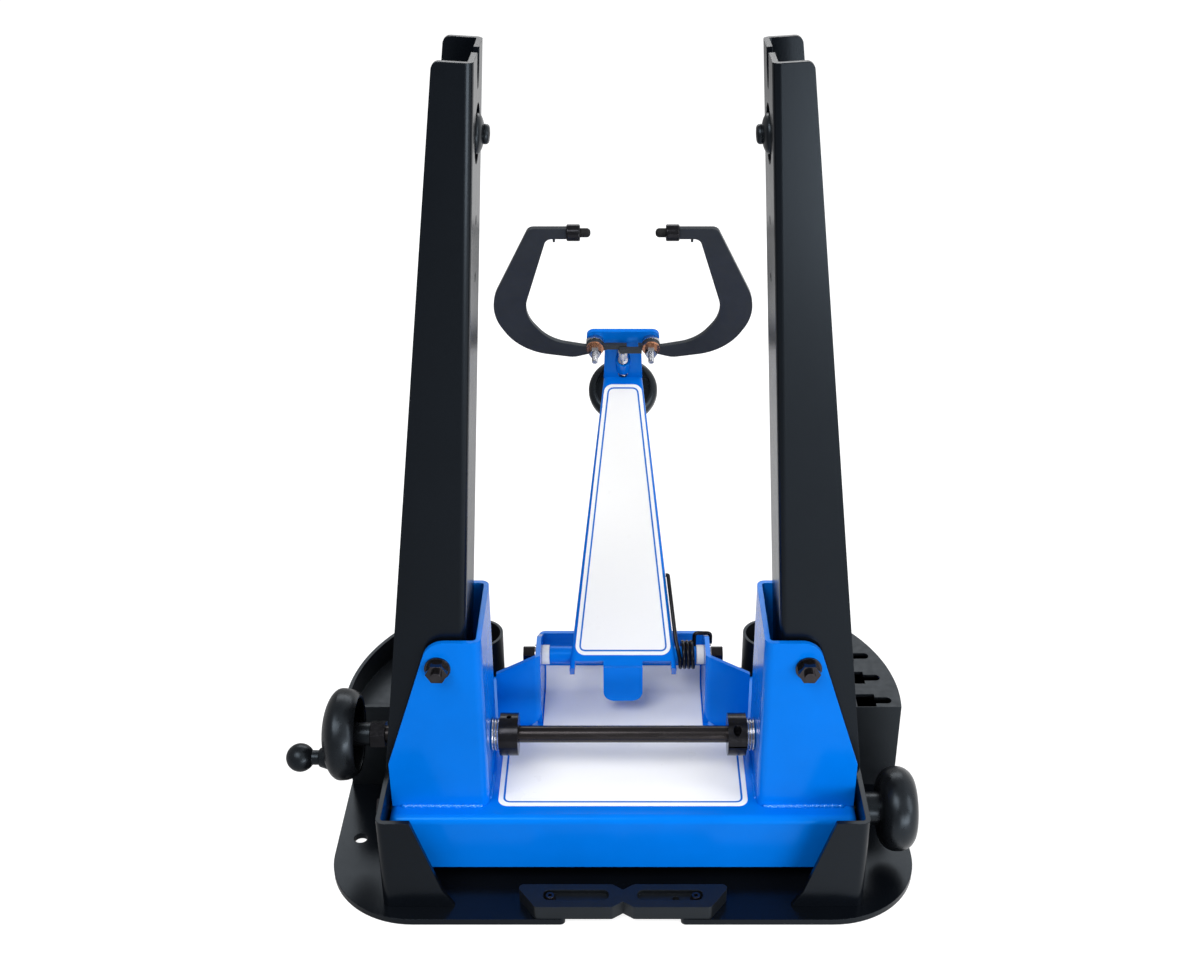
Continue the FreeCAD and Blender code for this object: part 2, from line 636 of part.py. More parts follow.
def lines_from(shape, sketch, corners):
    """Numbers of the edges that chosen corners of a sketch leave along its normal."""
    normal = sketch.Placement.Rotation.multVec(Vector(0, 0, 1))
    numbers = []
    for corner in corners:
        point = sketch.Placement.multVec(sketch.Geometry[corner].StartPoint)
        for number, edge in enumerate(shape.Edges, 1):
            ends = [vertex.Point for vertex in edge.Vertexes]
            on_line = all((end - point).cross(normal).Length < 0.001 for end in ends)
            if on_line and len(ends) == 2:
                numbers.append(number)
    return numbers


def round_off(body, sketch, corners, radius):
    doc.recompute()
    base = body.Tip
    names = [f"Edge{n}" for n in lines_from(base.Shape, sketch, corners)]
    fillet = body.newObject("PartDesign::Fillet", f"{body.Name}_fillet")
    fillet.Base = (base, names)
    bind(fillet, Radius=radius)


def round_slab(name, extrusion, corners, radius):
    """Fillet an extruded outline at chosen corners."""
    doc.recompute()
    rounded = doc.addObject("Part::Fillet", name)
    rounded.Base = extrusion
    numbers = lines_from(extrusion.Shape, extrusion.Base, corners)
    rounded.Edges = [(n, value(radius), value(radius)) for n in numbers]
    return rounded


PARTS = []


def part(label, piece):
    """Name a finished piece; its label is its file's name."""
    piece.Label = label
    PARTS.append(piece)
    return piece


# ---------------------------------------------------------------- tilting base

def base_plate():
    body = sheet_body("base_plate_body")
    half = "plate_width / 2"
    notch = "notch_width / 2"
    notch_back = "notch_depth - plate_front"
    outline = [
        (f"-{half}", "-plate_front"),
        (f"-{notch}", "-plate_front"),
        (f"-{notch}", notch_back),
        (notch, notch_back),
        (notch, "-plate_front"),
        (half, "-plate_front"),
        (half, "plate_rear"),
        (f"-{half}", "plate_rear"),
    ]
    holes = []
    for sign in ("-", ""):
        holes.append((f"{sign}bench_front_x", "-bench_front_y", "bench_hole"))
        holes.append((f"{sign}bench_rear_x", "bench_rear_y", "bench_hole"))
        holes.append((f"{sign}block_screw_x", "-block_screw_y", "block_screw"))
    profile = pad(body, "XY", ("0", "plate_thick"), outline, holes)
    round_off(body, profile, (0, 5), "plate_front_radius")
    round_off(body, profile, (6, 7), "plate_rear_radius")
    round_off(body, profile, (1, 2, 3, 4), "notch_radius")
    return body


def side_wall():
    """Left side wall, bent round into the front gusset."""
    body = sheet_body("side_wall_body")
    outline = [
        ("-wall_x", "-wall_front"),
        ("gusset_foot - wall_x", "-wall_front"),
        ("gusset_foot - wall_x", "wall_sheet - wall_front"),
        ("-wall_in", "wall_sheet - wall_front"),
        ("-wall_in", "wall_rear"),
        ("-wall_x", "wall_rear"),
    ]
    profile = pad(body, "XY", ("plate_thick", "wall_top"), outline)
    slant = [
        ("gusset_crown - wall_x", "wall_top + 1"),
        ("gusset_waist - wall_x", "plate_thick + gusset_waist_rise"),
        ("gusset_foot - wall_x", "plate_thick"),
        ("gusset_foot - wall_x + 1", "plate_thick"),
        ("gusset_foot - wall_x + 1", "wall_top + 1"),
    ]
    front = ("-wall_front - 1", "wall_sheet - wall_front + 1")
    pocket(body, "XZ", front, [slant])
    hole = ("-tilt_y", "tilt_z", "tilt_thread + 2 * running_fit")
    pocket(body, "YZ", ("-wall_x - 1", "-wall_in + 1"), circles=[hole])
    round_off(body, profile, (0,), "wall_bend")
    round_off(body, profile, (3,), "wall_bend - wall_sheet")
    return body


def tray_shape(name, inset, z_span):
    """The tray's plan, rounded behind like the plate, drawn in by an inset."""
    x_span = (f"tray_in + {inset}", f"plate_width / 2 - {inset}")
    y_span = (f"-tray_front + {inset}", f"tray_rear - {inset}")
    box = block(name + "_box", x_span, y_span, z_span)
    disc = rod(name + "_disc", "Z", f"2 * (plate_rear_radius - {inset})", *z_span,
               "tray_round_x", "tray_round_y")
    return common(name, box, disc)


def left_tray():
    """Open dish, modelled on the right and mirrored."""
    outer = tray_shape("dish_outer", "0", ("plate_thick", "tray_top"))
    dish = tray_shape("dish_hollow", "tray_wall", ("dish_floor", "tray_top + 1"))
    under = tray_shape("dish_under", "tray_wall", ("plate_thick - 1", "dish_floor - tray_wall"))
    return mirrored("left_tray_mirror", cut("dish_tray", outer, dish, under))


def right_tray():
    """Closed top with keyhole slots that hang tools."""
    outer = tray_shape("rack_outer", "0", ("plate_thick", "tray_top"))
    under = tray_shape("rack_under", "tray_wall", ("plate_thick - 1", "tray_top - tray_wall"))
    through = ("tray_top - 2 * tray_wall", "tray_top + 1")
    tools = [under]
    for number in range(3):
        y = f"(keyhole_pitch * {number} - keyhole_first)"
        end = f"keyhole_head_x + keyhole_reach - keyhole_step * {number}"
        sides = (f"{y} - keyhole_slot / 2", f"{y} + keyhole_slot / 2")
        round_x = f"{end} - keyhole_slot / 2"
        tools.append(block(f"keyhole_slot_{number}", ("keyhole_head_x", round_x), sides, through))
        tools.append(rod(f"keyhole_end_{number}", "Z", "keyhole_slot", *through, round_x, y))
        sides = (f"{y} - keyhole_head / 2", f"{y} + keyhole_head / 2")
        head = ("keyhole_head_x", f"{end} - keyhole_neck")
        tools.append(block(f"keyhole_head_{number}", head, sides, through))
    return cut("rack_tray", outer, fuse("rack_tools", *tools))


def cup(name, sign):
    spot = (f"{sign}cup_x", "cup_y")
    outer = rod(name + "_outer", "Z", "cup_outer", "plate_thick", "tray_top", *spot)
    hollow = rod(name + "_hollow", "Z", "cup_outer - 2 * cup_wall",
                 "plate_thick + cup_floor", "tray_top + 1", *spot)
    return cut(name + "_shell", outer, hollow)


def front_block():
    body = sheet_body("front_block_body")
    rear = "block_depth - block_front"
    outline = [
        ("-block_front_half", "-block_front"),
        ("-block_vee_half", "-block_front"),
        ("0", "block_vee_depth - block_front"),
        ("block_vee_half", "-block_front"),
        ("block_front_half", "-block_front"),
        ("block_rear_half", rear),
        ("block_vee_half", rear),
        ("0", f"{rear} - block_vee_depth"),
        ("-block_vee_half", rear),
        ("-block_rear_half", rear),
    ]
    screw_hole = "block_screw + 2 * running_fit"
    holes = [
        ("-block_screw_x", "-block_screw_y", screw_hole),
        ("block_screw_x", "-block_screw_y", screw_hole),
        ("block_hole_x", "-block_screw_y", "block_screw"),
    ]
    profile = pad(body, "XY", ("plate_thick", "block_top"), outline, holes)
    round_off(body, profile, (0, 1, 3, 4, 5, 6, 8, 9), "notch_radius")
    slots = []
    sides = ("-block_screw_y - block_slot / 2", "block_slot / 2 - block_screw_y")
    for sign in ("-", ""):
        ends = (f"{sign}block_slot_in", f"{sign}(block_screw_x + block_slot / 2)")
        slots.append([(ends[0], sides[0]), (ends[1], sides[0]), (ends[1], sides[1]), (ends[0], sides[1])])
    recess = pocket(body, "XY", ("block_top - block_slot_depth", "block_top + 1"), slots)
    round_off(body, recess, (0, 1, 2, 3, 4, 5, 6, 7), "block_slot / 2 - 0.6")
    return body


def block_screws():
    """Button heads that stand on the floors of the lobes' recesses."""
    screws = []
    seat = "block_top - block_slot_depth"
    top = f"{seat} + block_screw_rise"
    for name, x in (("left", "-block_screw_x"), ("right", "block_screw_x")):
        spot = (x, "-block_screw_y")
        shank = rod(f"{name}_block_shank", "Z", "block_screw", "0.5", seat, *spot)
        head = taper(f"{name}_block_head", "Z", "block_screw_head", "block_screw_head * 0.7",
                     seat, top, *spot)
        socket = hexagon(f"{name}_block_socket", "Z", "block_screw_head * 0.32",
                         f"{top} - block_screw_rise * 2 / 3", f"{top} + 1", *spot)
        whole = fuse(f"{name}_block_blank", shank, head)
        screws.append(cut(f"{name}_block_screw", whole, socket))
    return group("front_block_screws_set", *screws)


def bumpers():
    span = ("plate_thick", "frame_bottom - rest_gap")
    left = rod("left_bumper", "Z", "bumper", *span, "-bumper_x", "bumper_y")
    right = rod("right_bumper", "Z", "bumper", *span, "bumper_x", "bumper_y")
    return group("bumper_set", left, right)


part("base_plate", base_plate())
left_wall = part("left_side_wall", side_wall())
part("right_side_wall", mirrored("right_wall_mirror", left_wall))
part("left_tray", left_tray())
part("right_tray", right_tray())
part("left_cup", cup("left_cup", "-"))
part("right_cup", cup("right_cup", ""))
part("front_block", front_block())
part("front_block_screws", block_screws())
part("rest_bumpers", bumpers())

# ---------------------------------------------------------------- tilting frame

def frame_channel():
    """Folded pan, open below, that carries both cheeks."""
    body = sheet_body("frame_channel_body")

    def rectangle(inset):
        x = f"(frame_half - {inset})"
        front = f"{inset} - frame_front"
        rear = f"frame_rear - {inset}"
        return [(f"-{x}", front), (x, front), (x, rear), (f"-{x}", rear)]

    profile = pad(body, "XY", ("frame_bottom", "frame_top"), rectangle("0"))
    round_off(body, profile, (0, 1, 2, 3), "frame_bend")
    doc.recompute()
    rim = body.Tip
    top = value("frame_top")
    names = [f"Edge{n}" for n, edge in enumerate(rim.Shape.Edges, 1)
             if all(abs(vertex.Z - top) < 0.001 for vertex in edge.Vertexes)]
    fold = body.newObject("PartDesign::Fillet", "frame_fold")
    fold.Base = (rim, names)
    bind(fold, Radius="frame_bend")
    inside = ("frame_bottom - 1", "frame_top - frame_sheet")
    pocket(body, "XY", inside, [rectangle("frame_sheet")])
    hole = ("-tilt_y", "tilt_z", "tilt_thread + 2 * running_fit")
    pocket(body, "YZ", ("-frame_half - 1", "frame_half + 1"), circles=[hole])
    return body


def cheek():
    """Left upright bracket: a channel on end, open outboard."""
    body = sheet_body("cheek_body")
    inner_front = "cheek_front + cheek_sheet"
    inner_rear = "cheek_rear - cheek_sheet"
    outline = [
        ("-cheek_in", "cheek_front"),
        ("-cheek_foot", "cheek_front"),
        ("-cheek_foot", inner_front),
        ("-cheek_hollow", inner_front),
        ("-cheek_hollow", inner_rear),
        ("-cheek_foot", inner_rear),
        ("-cheek_foot", "cheek_rear"),
        ("-cheek_in", "cheek_rear"),
    ]
    profile = pad(body, "XY", ("frame_top", "cheek_top"), outline)
    slant = [
        ("-cheek_foot", "cheek_shoulder"),
        ("-cheek_crown", "cheek_top"),
        ("-cheek_crown", "cheek_top + 1"),
        ("-cheek_foot - 1", "cheek_top + 1"),
        ("-cheek_foot - 1", "cheek_shoulder"),
    ]
    pivot = ("-pivot_x", "pivot_z", "pivot_bolt + 2 * running_fit")
    edge = pocket(body, "XZ", ("cheek_front - 1", "cheek_rear + 1"), [slant], [pivot])
    bore = ("-upright_y", "spindle_z", "spindle + 2 * running_fit")
    pocket(body, "YZ", ("-cheek_hollow - 1", "-cheek_in + 1"), circles=[bore])
    round_off(body, profile, (0, 7), "cheek_bend")
    round_off(body, profile, (3, 4), "cheek_bend - cheek_sheet")
    round_off(body, edge, (1,), "cheek_radius")
    return body


def ear_bracket():
    """Wings, ears and rear wall folded from one sheet, with the bend up the rear wall."""
    body = sheet_body("ear_bracket_body")
    back = "ear_sheet - ear_y"
    outline = [
        ("-cheek_in", "-ear_y"),
        ("-ear_in", "-ear_y"),
        ("-ear_in", "rear_front"),
        ("ear_in", "rear_front"),
        ("ear_in", "-ear_y"),
        ("cheek_in", "-ear_y"),
        ("cheek_in", back),
        ("ear_x", back),
        ("ear_x", "ear_rear"),
        ("-ear_x", "ear_rear"),
        ("-ear_x", back),
        ("-cheek_in", back),
    ]
    profile = pad(body, "XY", ("frame_top", "ear_top"), outline)
    wing_slopes = []
    for sign in ("-", ""):
        wing_slopes.append([
            (f"{sign}ear_x", "ear_top"),
            (f"{sign}cheek_in", "wing_top"),
            (f"{sign}(cheek_in + 1)", "wing_top"),
            (f"{sign}(cheek_in + 1)", "ear_top + 1"),
            (f"{sign}ear_x", "ear_top + 1"),
        ])
    pocket(body, "XZ", ("-ear_y - 1", f"{back} + 1"), wing_slopes)
    ear_slope = [
        ("ear_level", "ear_top"),
        ("rear_front", "rear_top"),
        ("ear_rear + 1", "rear_top"),
        ("ear_rear + 1", "ear_top + 1"),
        ("ear_level", "ear_top + 1"),
    ]
    pivot = ("arm_y", "arm_z", "arm_bolt + 2 * running_fit")
    pocket(body, "YZ", ("-ear_x - 1", "ear_x + 1"), [ear_slope], [pivot])
    screw_hole = ("0", "ascrew_z", "ascrew + 2 * running_fit")
    pocket(body, "XZ", ("rear_front - 1", "ear_rear + 1"), circles=[screw_hole])
    round_off(body, profile, (1, 4), "ear_sheet + 1")
    round_off(body, profile, (8, 9), "ear_sheet + 1")
    corners = []
    for sign in ("-", ""):
        reach_in = f"{sign}(ear_in - 1)"
        reach_out = f"{sign}(ear_in + ear_cutout)"
        x_span = (reach_out, reach_in) if sign else (reach_in, reach_out)
        z_span = ("frame_top - 1", "frame_top + ear_cutout")
        tag = "left" if sign else "right"
        corner = block(tag + "_ear_corner", x_span, ("-ear_y - 1", f"{back} + 1"), z_span)
        wheel = rod(tag + "_ear_round", "Y", "2 * ear_cutout", "-ear_y - 2", f"{back} + 2",
                    reach_out, "frame_top + ear_cutout")
        corners.append(cut(tag + "_ear_cutout", corner, wheel))
    folded = cut("ear_bracket_cut", body, *corners)
    z_span = ("frame_top", "frame_top + rear_bend")
    strip = block("rear_bend_strip", ("-ear_in", "ear_in"),
                  ("rear_front - rear_bend", "rear_front"), z_span)
    hollow = rod("rear_bend_hollow", "X", "2 * rear_bend", "-ear_in - 1", "ear_in + 1",
                 "rear_front - rear_bend", "frame_top + rear_bend")
    return fuse("ear_bracket_whole", folded, cut("rear_bend_piece", strip, hollow))


def top_sticker():
    """White sticker over the frame's top and up the rear wall."""
    body = sheet_body("top_sticker_body")
    narrow = "-top_sticker_waist"
    outline = [
        ("-top_sticker_half", "-top_sticker_front"),
        ("top_sticker_half", "-top_sticker_front"),
        ("top_sticker_half", narrow),
        ("top_sticker_tongue", narrow),
        ("top_sticker_tongue", "rear_front - rear_bend"),
        ("-top_sticker_tongue", "rear_front - rear_bend"),
        ("-top_sticker_tongue", narrow),
        ("-top_sticker_half", narrow),
    ]
    profile = pad(body, "XY", ("frame_top", "frame_top + sticker"), outline)
    round_off(body, profile, (0, 1, 2, 7), "sticker_radius")
    sides = ("-top_sticker_tongue", "top_sticker_tongue")
    rise = ("frame_top", "top_sticker_rise")
    run = ("rear_front - rear_bend", "rear_front")
    sheet = block("sticker_rise", sides, run, rise)
    centre = ("rear_front - rear_bend", "frame_top + rear_bend")
    bend = rod("sticker_bend", "X", "2 * rear_bend", *sides, *centre)
    above = block("sticker_above", sides, run, ("frame_top + rear_bend", "top_sticker_rise"))
    outer = fuse("sticker_outer", common("sticker_corner", sheet, bend), above)
    hollow = rod("sticker_hollow", "X", "2 * (rear_bend - sticker)", "-ear_x", "ear_x", *centre)
    clear_run = ("rear_front - rear_bend - 1", "rear_front - sticker")
    clear_rise = ("frame_top + rear_bend", "top_sticker_rise + 1")
    clear = block("sticker_clear", ("-ear_x", "ear_x"), clear_run, clear_rise)
    curl = cut("sticker_curl", outer, hollow, clear)
    return fuse("top_sticker_whole", body, curl)


part("frame_channel", frame_channel())
left_cheek = part("left_cheek", cheek())
part("right_cheek", mirrored("right_cheek_mirror", left_cheek))
part("ear_bracket", ear_bracket())
part("top_sticker", top_sticker())

# ---------------------------------------------------------------- tilt pivot

TILT = ("-tilt_y", "tilt_z")


def left_tilt_bolt():
    shank = rod("left_tilt_shank", "X", "tilt_thread", "-wall_x", "-frame_half + 14", *TILT)
    head = hexagon("left_tilt_head", "X", "tilt_head", "-wall_x - 5.5", "-wall_x", *TILT)
    return fuse("left_tilt_bolt_whole", shank, head)


def tilt_nuts():
    """Square nuts inside the frame's side flanges, their tops against the pan."""
    nuts = []
    for name, start in (("left", "frame_sheet - frame_half"), ("right", "frame_half - frame_sheet - 6.5")):
        blank = block(f"{name}_tilt_nut_blank", (start, f"{start} + 6.5"),
                      ("-tilt_y - tilt_head / 2", "tilt_head / 2 - tilt_y"),
                      ("tilt_z - tilt_head / 2", "frame_top - frame_sheet"))
        hole = rod(f"{name}_tilt_nut_hole", "X", "tilt_thread", f"{start} - 1", f"{start} + 8", *TILT)
        nuts.append(cut(f"{name}_tilt_nut", blank, hole))
    return nuts


def tilt_knob():
    """Rounded knob with a hub that bears on the right side wall."""
    dome_end = "tilt_knob_start + tilt_knob_thick"
    dome = rod("tilt_knob_disc", "X", "tilt_knob", "tilt_knob_start", dome_end, *TILT)
    rim = soften("tilt_knob_outer", dome, value("tilt_knob_thick") * 0.47,
                 lambda edge: edge.BoundBox.XLength < 0.001)
    hub = rod("tilt_knob_hub", "X", "tilt_hub", "wall_x + side_gap", "tilt_knob_start + 2", *TILT)
    bore = rod("tilt_knob_bore", "X", "tilt_thread + 2 * running_fit",
               "wall_x - 1", "tilt_knob_start + tilt_knob_thick * 0.55", *TILT)
    return cut("tilt_knob_whole", fuse("tilt_knob_blank", rim, hub), bore)


part("right_tilt_stud", rod("right_stud", "X", "tilt_thread", "frame_half - 14",
                            "tilt_knob_start + tilt_knob_thick / 2", *TILT))
part("tilt_knob", tilt_knob())

# ---------------------------------------------------------------- uprights

def upright():
    """Right upright in its own frame: origin on the pivot, x outboard, z along it."""
    body = sheet_body("right_upright_body")
    far = "flange_foot"
    outline = [
        ("-web_in", "-upright_half"),
        (far, "-upright_half"),
        (far, "-flange_in"),
        ("-web_out", "-flange_in"),
        ("-web_out", "flange_in"),
        (far, "flange_in"),
        (far, "upright_half"),
        ("-web_in", "upright_half"),
    ]
    profile = pad(body, "XY", ("-upright_drop", "upright_rise"), outline)
    slant = [
        (far, "-upright_drop"),
        ("flange_crown", "upright_rise"),
        ("flange_crown", "upright_rise + 1"),
        (f"{far} + 1", "upright_rise + 1"),
        (f"{far} + 1", "-upright_drop"),
    ]
    holes = [
        ("0", "0", "pivot_bolt + 2 * running_fit"),
        ("-nut_offset", "-nut_drop", "nut_pin + 2 * nut_pin_gap"),
    ]
    across = ("-upright_half - 1", "upright_half + 1")
    edge = pocket(body, "XZ", across, [slant], holes)
    mouth = "axle_slot / 2"
    seat = "axle_slot_seat / 2"
    slot = [
        (f"-{mouth}", "upright_rise + 1"),
        (f"-{mouth}", "upright_rise - axle_slot_straight"),
        (f"-{seat}", "upright_rise - axle_slot_depth"),
        (seat, "upright_rise - axle_slot_depth"),
        (mouth, "upright_rise - axle_slot_straight"),
        (mouth, "upright_rise + 1"),
    ]
    web_holes = [
        ("0", "dome_v", "dome_hole"),
        ("0", "upright_rise - web_hole_first", "web_hole"),
        ("0", "upright_rise - web_hole_first - web_hole_pitch", "web_hole"),
        ("0", "spindle_in_web", "spindle_web_hole"),
    ]
    pocket(body, "YZ", ("-web_in - 1", "-web_out + 1"), [slot], web_holes)
    round_off(body, profile, (0, 7), "upright_bend")
    round_off(body, profile, (3, 4), "upright_bend - upright_sheet")
    round_off(body, edge, (1,), "flange_top_radius")
    round_off(body, edge, (0,), "flange_foot_radius")
    return body


def on_upright(piece):
    """Lean a piece drawn in the right upright's frame."""
    return locate(piece, "pivot_x", "-upright_y", "pivot_z", Vector(0, 1, 0), "-upright_lean")


def dome_strap():
    half = "strap_width / 2"
    long_half = "strap_length / 2"
    plate = block("strap_plate", ("-web_out", "upright_sheet - web_out"), (f"-{long_half}", long_half),
                  (f"dome_v - {half}", f"dome_v + {half}"))
    hole = rod("strap_hole", "X", "dome_screw", "-web_in", "0", "0", "dome_v")
    return cut("strap", plate, hole)


def dome_piece():
    seat = rod("dome_seat", "X", "dome", "-web_in", "-web_out", "0", "dome_v")
    nose = taper("dome_nose", "X", "dome_taper", "dome", "-web_in - dome_proud", "-web_in",
                 "0", "dome_v")
    hole = rod("dome_bore", "X", "dome_screw", "-web_in - dome_proud - 1", "0", "0", "dome_v")
    return cut("dome_turned", fuse("dome_blank", seat, nose), hole)


def dome_screw():
    face = "-web_in - dome_proud"
    shank = rod("dome_screw_shank", "X", "dome_screw", face, "upright_sheet - web_out", "0", "dome_v")
    head = taper("dome_screw_head", "X", "dome_button * 0.6", "dome_button",
                 f"{face} - dome_button_thick", face, "0", "dome_v")
    nut = hexagon("dome_screw_nut", "X", "dome_button", "upright_sheet - web_out",
                  "2 * upright_sheet - web_out", "0", "dome_v")
    return fuse("dome_screw_whole", shank, head, nut)


right_upright = part("right_upright", on_upright(upright()))
part("left_upright", mirrored("left_upright_mirror", right_upright))


def dome_fixing():
    return group("dome_fixing_set", dome_strap(), dome_screw())


for label, maker in (("dome", dome_piece), ("dome_fixing", dome_fixing)):
    right_piece = part("right_" + label, on_upright(maker()))
    part("left_" + label, mirrored(f"left_{label}_mirror", right_piece))


def pivot_set():
    """Bolts, washers and nuts of both upright pivots."""
    bolts, washers, spacers, nuts = [], [], [], []
    front = "cheek_front - pivot_washer_thick"
    nut_front = f"{front} - pivot_nut"
    for tag, x in (("left", "-pivot_x"), ("right", "pivot_x")):
        spot = (x, "pivot_z")
        shank = rod(f"{tag}_pivot_shank", "Y", "pivot_bolt", f"{nut_front} - pivot_stud",
                    "cheek_rear", *spot)
        head = hexagon(f"{tag}_pivot_head", "Y", "pivot_flats", "cheek_rear", "cheek_rear + 4.4", *spot)
        bolts.append(fuse(f"{tag}_pivot_bolt", shank, head))
        washers.append(tube(f"{tag}_pivot_washer", "Y", "pivot_washer", "pivot_bolt", front,
                            "cheek_front", *spot))
        fit = "pivot_bolt + 2 * running_fit"
        for place, start in (("front", "cheek_front + cheek_sheet + spacer_gap"),
                             ("rear", "upright_half - upright_y + spacer_gap")):
            spacers.append(tube(f"{tag}_{place}_pivot_spacer", "Y", "pivot_washer", fit, start,
                                f"{start} + cheek_gap - 2 * spacer_gap", *spot))
        blank = hexagon(f"{tag}_pivot_nut_blank", "Y", "pivot_flats", nut_front, front, *spot)
        hole = rod(f"{tag}_pivot_nut_hole", "Y", "pivot_bolt", f"{nut_front} - 1", f"{front} + 1", *spot)
        nuts.append(cut(f"{tag}_pivot_nut", blank, hole))
    part("pivot_washers", group("pivot_washers_set", *washers))
    return bolts, spacers, nuts


pivot_bolts, pivot_spacers, pivot_nuts = pivot_set()

# ---------------------------------------------------------------- spindle

SPINDLE = ("-upright_y", "spindle_z")


def left_collar():
    ring = tube("left_collar_ring", "X", "collar", "spindle", "-collar_out", "-collar_in", *SPINDLE)
    middle = "-(collar_out + collar_in) / 2"
    hole = rod("left_collar_screw_hole", "Z", "collar_screw", "spindle_z", "spindle_z + collar",
               middle, "-upright_y")
    return cut("left_collar_whole", ring, hole)


COLLAR_MIDDLE = "(collar_in + collar_out) / 2"
COLLAR_SCREWS = (
    ("front", "-upright_y - collar_screw_y"),
    ("rear", "collar_screw_y - upright_y"),
)


def right_collar():
    """Clamp collar in two halves, parted on a level plane."""
    ring = tube("right_collar_ring", "X", "collar", "spindle", "collar_in", "collar_out", *SPINDLE)
    x_span = ("collar_in - 1", "collar_out + 1")
    y_span = ("-upright_y - collar", "-upright_y + collar")
    gap = block("collar_split_gap", x_span, y_span,
                ("spindle_z - collar_split / 2", "spindle_z + collar_split / 2"))
    sinks = []
    for tag, y in COLLAR_SCREWS:
        sinks.append(rod(f"{tag}_collar_sink", "Z", "collar_screw_head", "spindle_z + collar_screw_seat",
                         "spindle_z + collar", COLLAR_MIDDLE, y))
        sinks.append(rod(f"{tag}_collar_hole", "Z", "collar_screw", "spindle_z - collar_screw_end",
                         "spindle_z + collar_screw_seat + 1", COLLAR_MIDDLE, y))
    return cut("right_collar_whole", ring, gap, *sinks)


def collar_screws():
    """Socket head screws, upright, one each side of the spindle."""
    screws = []
    for tag, y in COLLAR_SCREWS:
        spot = (COLLAR_MIDDLE, y)
        seat = "spindle_z + collar_screw_seat"
        shank = rod(f"{tag}_collar_shank", "Z", "collar_screw", "spindle_z - collar_screw_end", seat, *spot)
        head = rod(f"{tag}_collar_head", "Z", "collar_screw_head", seat, f"{seat} + collar_screw", *spot)
        socket = hexagon(f"{tag}_collar_socket", "Z", "collar_screw_head / 2", f"{seat} + collar_screw / 2",
                         f"{seat} + collar_screw + 1", *spot)
        screws.append(cut(f"{tag}_collar_screw", fuse(f"{tag}_collar_blank", shank, head), socket))
    return group("collar_screws_set", *screws)


def thrust_washers():
    rings = []
    for number in range(3):
        start = f"cheek_in - thrust_room + thrust_gap + {number} * (thrust_thick + thrust_gap)"
        end = f"{start} + thrust_thick"
        rings.append(tube(f"right_thrust_{number}", "X", "thrust_washer",
                          "spindle + 2 * running_fit", start, end, *SPINDLE))
        rings.append(tube(f"left_thrust_{number}", "X", "thrust_washer",
                          "spindle + 2 * running_fit", f"-({end})", f"-({start})", *SPINDLE))
    return group("thrust_washers_set", *rings)


def jam_nut():
    blank = hexagon("jam_blank", "X", "jam_flats", "-jam_end", "-jam_start", *SPINDLE)
    hole = rod("jam_hole", "X", "spindle", "-jam_end - 1", "-jam_start + 1", *SPINDLE)
    return cut("jam_nut_whole", blank, hole)


def handwheel():
    """Moulded wheel: rounded outside, hollow with ribs on the inboard side."""
    outer = rod("wheel_disc", "X", "wheel", "-wheel_end", "-wheel_start", *SPINDLE)
    rim = soften("wheel_rim", outer, value("wheel_round"), lambda edge: edge.BoundBox.XLength < 0.001)
    hub = rod("wheel_hub", "X", "hub", "-wheel_start - 1", "-jam_end", *SPINDLE)
    boss = rod("wheel_crank_boss", "X", "crank_boss", "-crank_boss_end", "-wheel_end + 4",
               "crank_y", "crank_z")
    groove = tube("wheel_groove", "X", "wheel - 2 * wheel_shell", "hub + 4",
                  "wheel_shell - wheel_end", "-wheel_start + 1", *SPINDLE)
    lightened = cut("wheel_shell_cut", rim, groove)
    ribs = []
    count = int(value("wheel_ribs"))
    for number in range(count):
        rib = block(f"wheel_rib_{number}", ("0", "wheel_thick - wheel_round"),
                    ("-wheel_rib / 2", "wheel_rib / 2"), ("hub / 2", "wheel / 2 - wheel_shell / 2"))
        turned = locate(group(f"wheel_rib_turned_{number}", rib), "-wheel_end + wheel_shell / 2",
                        *SPINDLE, Vector(1, 0, 0), f"360 * ({number} + 0.5) / wheel_ribs")
        ribs.append(turned)
    whole = fuse("wheel_blank", lightened, hub, boss, *ribs)
    bore = rod("wheel_bore", "X", "spindle", "-wheel_end + wheel_shell", "0", *SPINDLE)
    pin_hole = rod("wheel_pin_hole", "X", "crank_pin", "-crank_boss_end - 1", "4 - wheel_end",
                   "crank_y", "crank_z")
    return cut("handwheel_whole", whole, bore, pin_hole)


def crank_handle():
    spot = ("crank_y", "crank_z")
    knob = ball("crank_ball_round", "X", "crank_ball", "-crank_ball_x", *spot)
    neck = rod("crank_neck_rod", "X", "crank_neck", "-crank_ball_x", "-crank_boss_end - side_gap", *spot)
    bore = rod("crank_handle_bore", "X", "crank_pin + 2 * running_fit", "-crank_ball_x - 3",
               "-crank_boss_end + 1", *spot)
    return cut("crank_handle_whole", fuse("crank_handle_blank", knob, neck), bore)


def traveller_nut(tag, x):
    """Barrel nut on the spindle thread, carried by its trunnions in the upright."""
    barrel = rod(f"{tag}_nut_barrel", "Y", "nut_barrel", "-upright_y - nut_half",
                 "-upright_y + nut_half", x, "spindle_z")
    pins = rod(f"{tag}_nut_pins", "Y", "nut_pin", "-upright_y - upright_half",
               "-upright_y + upright_half", x, "spindle_z")
    bore = rod(f"{tag}_nut_bore", "X", "spindle + 2 * running_fit", f"{x} - nut_barrel",
               f"{x} + nut_barrel", *SPINDLE)
    return cut(f"{tag}_nut_whole", fuse(f"{tag}_nut_blank", barrel, pins), bore)


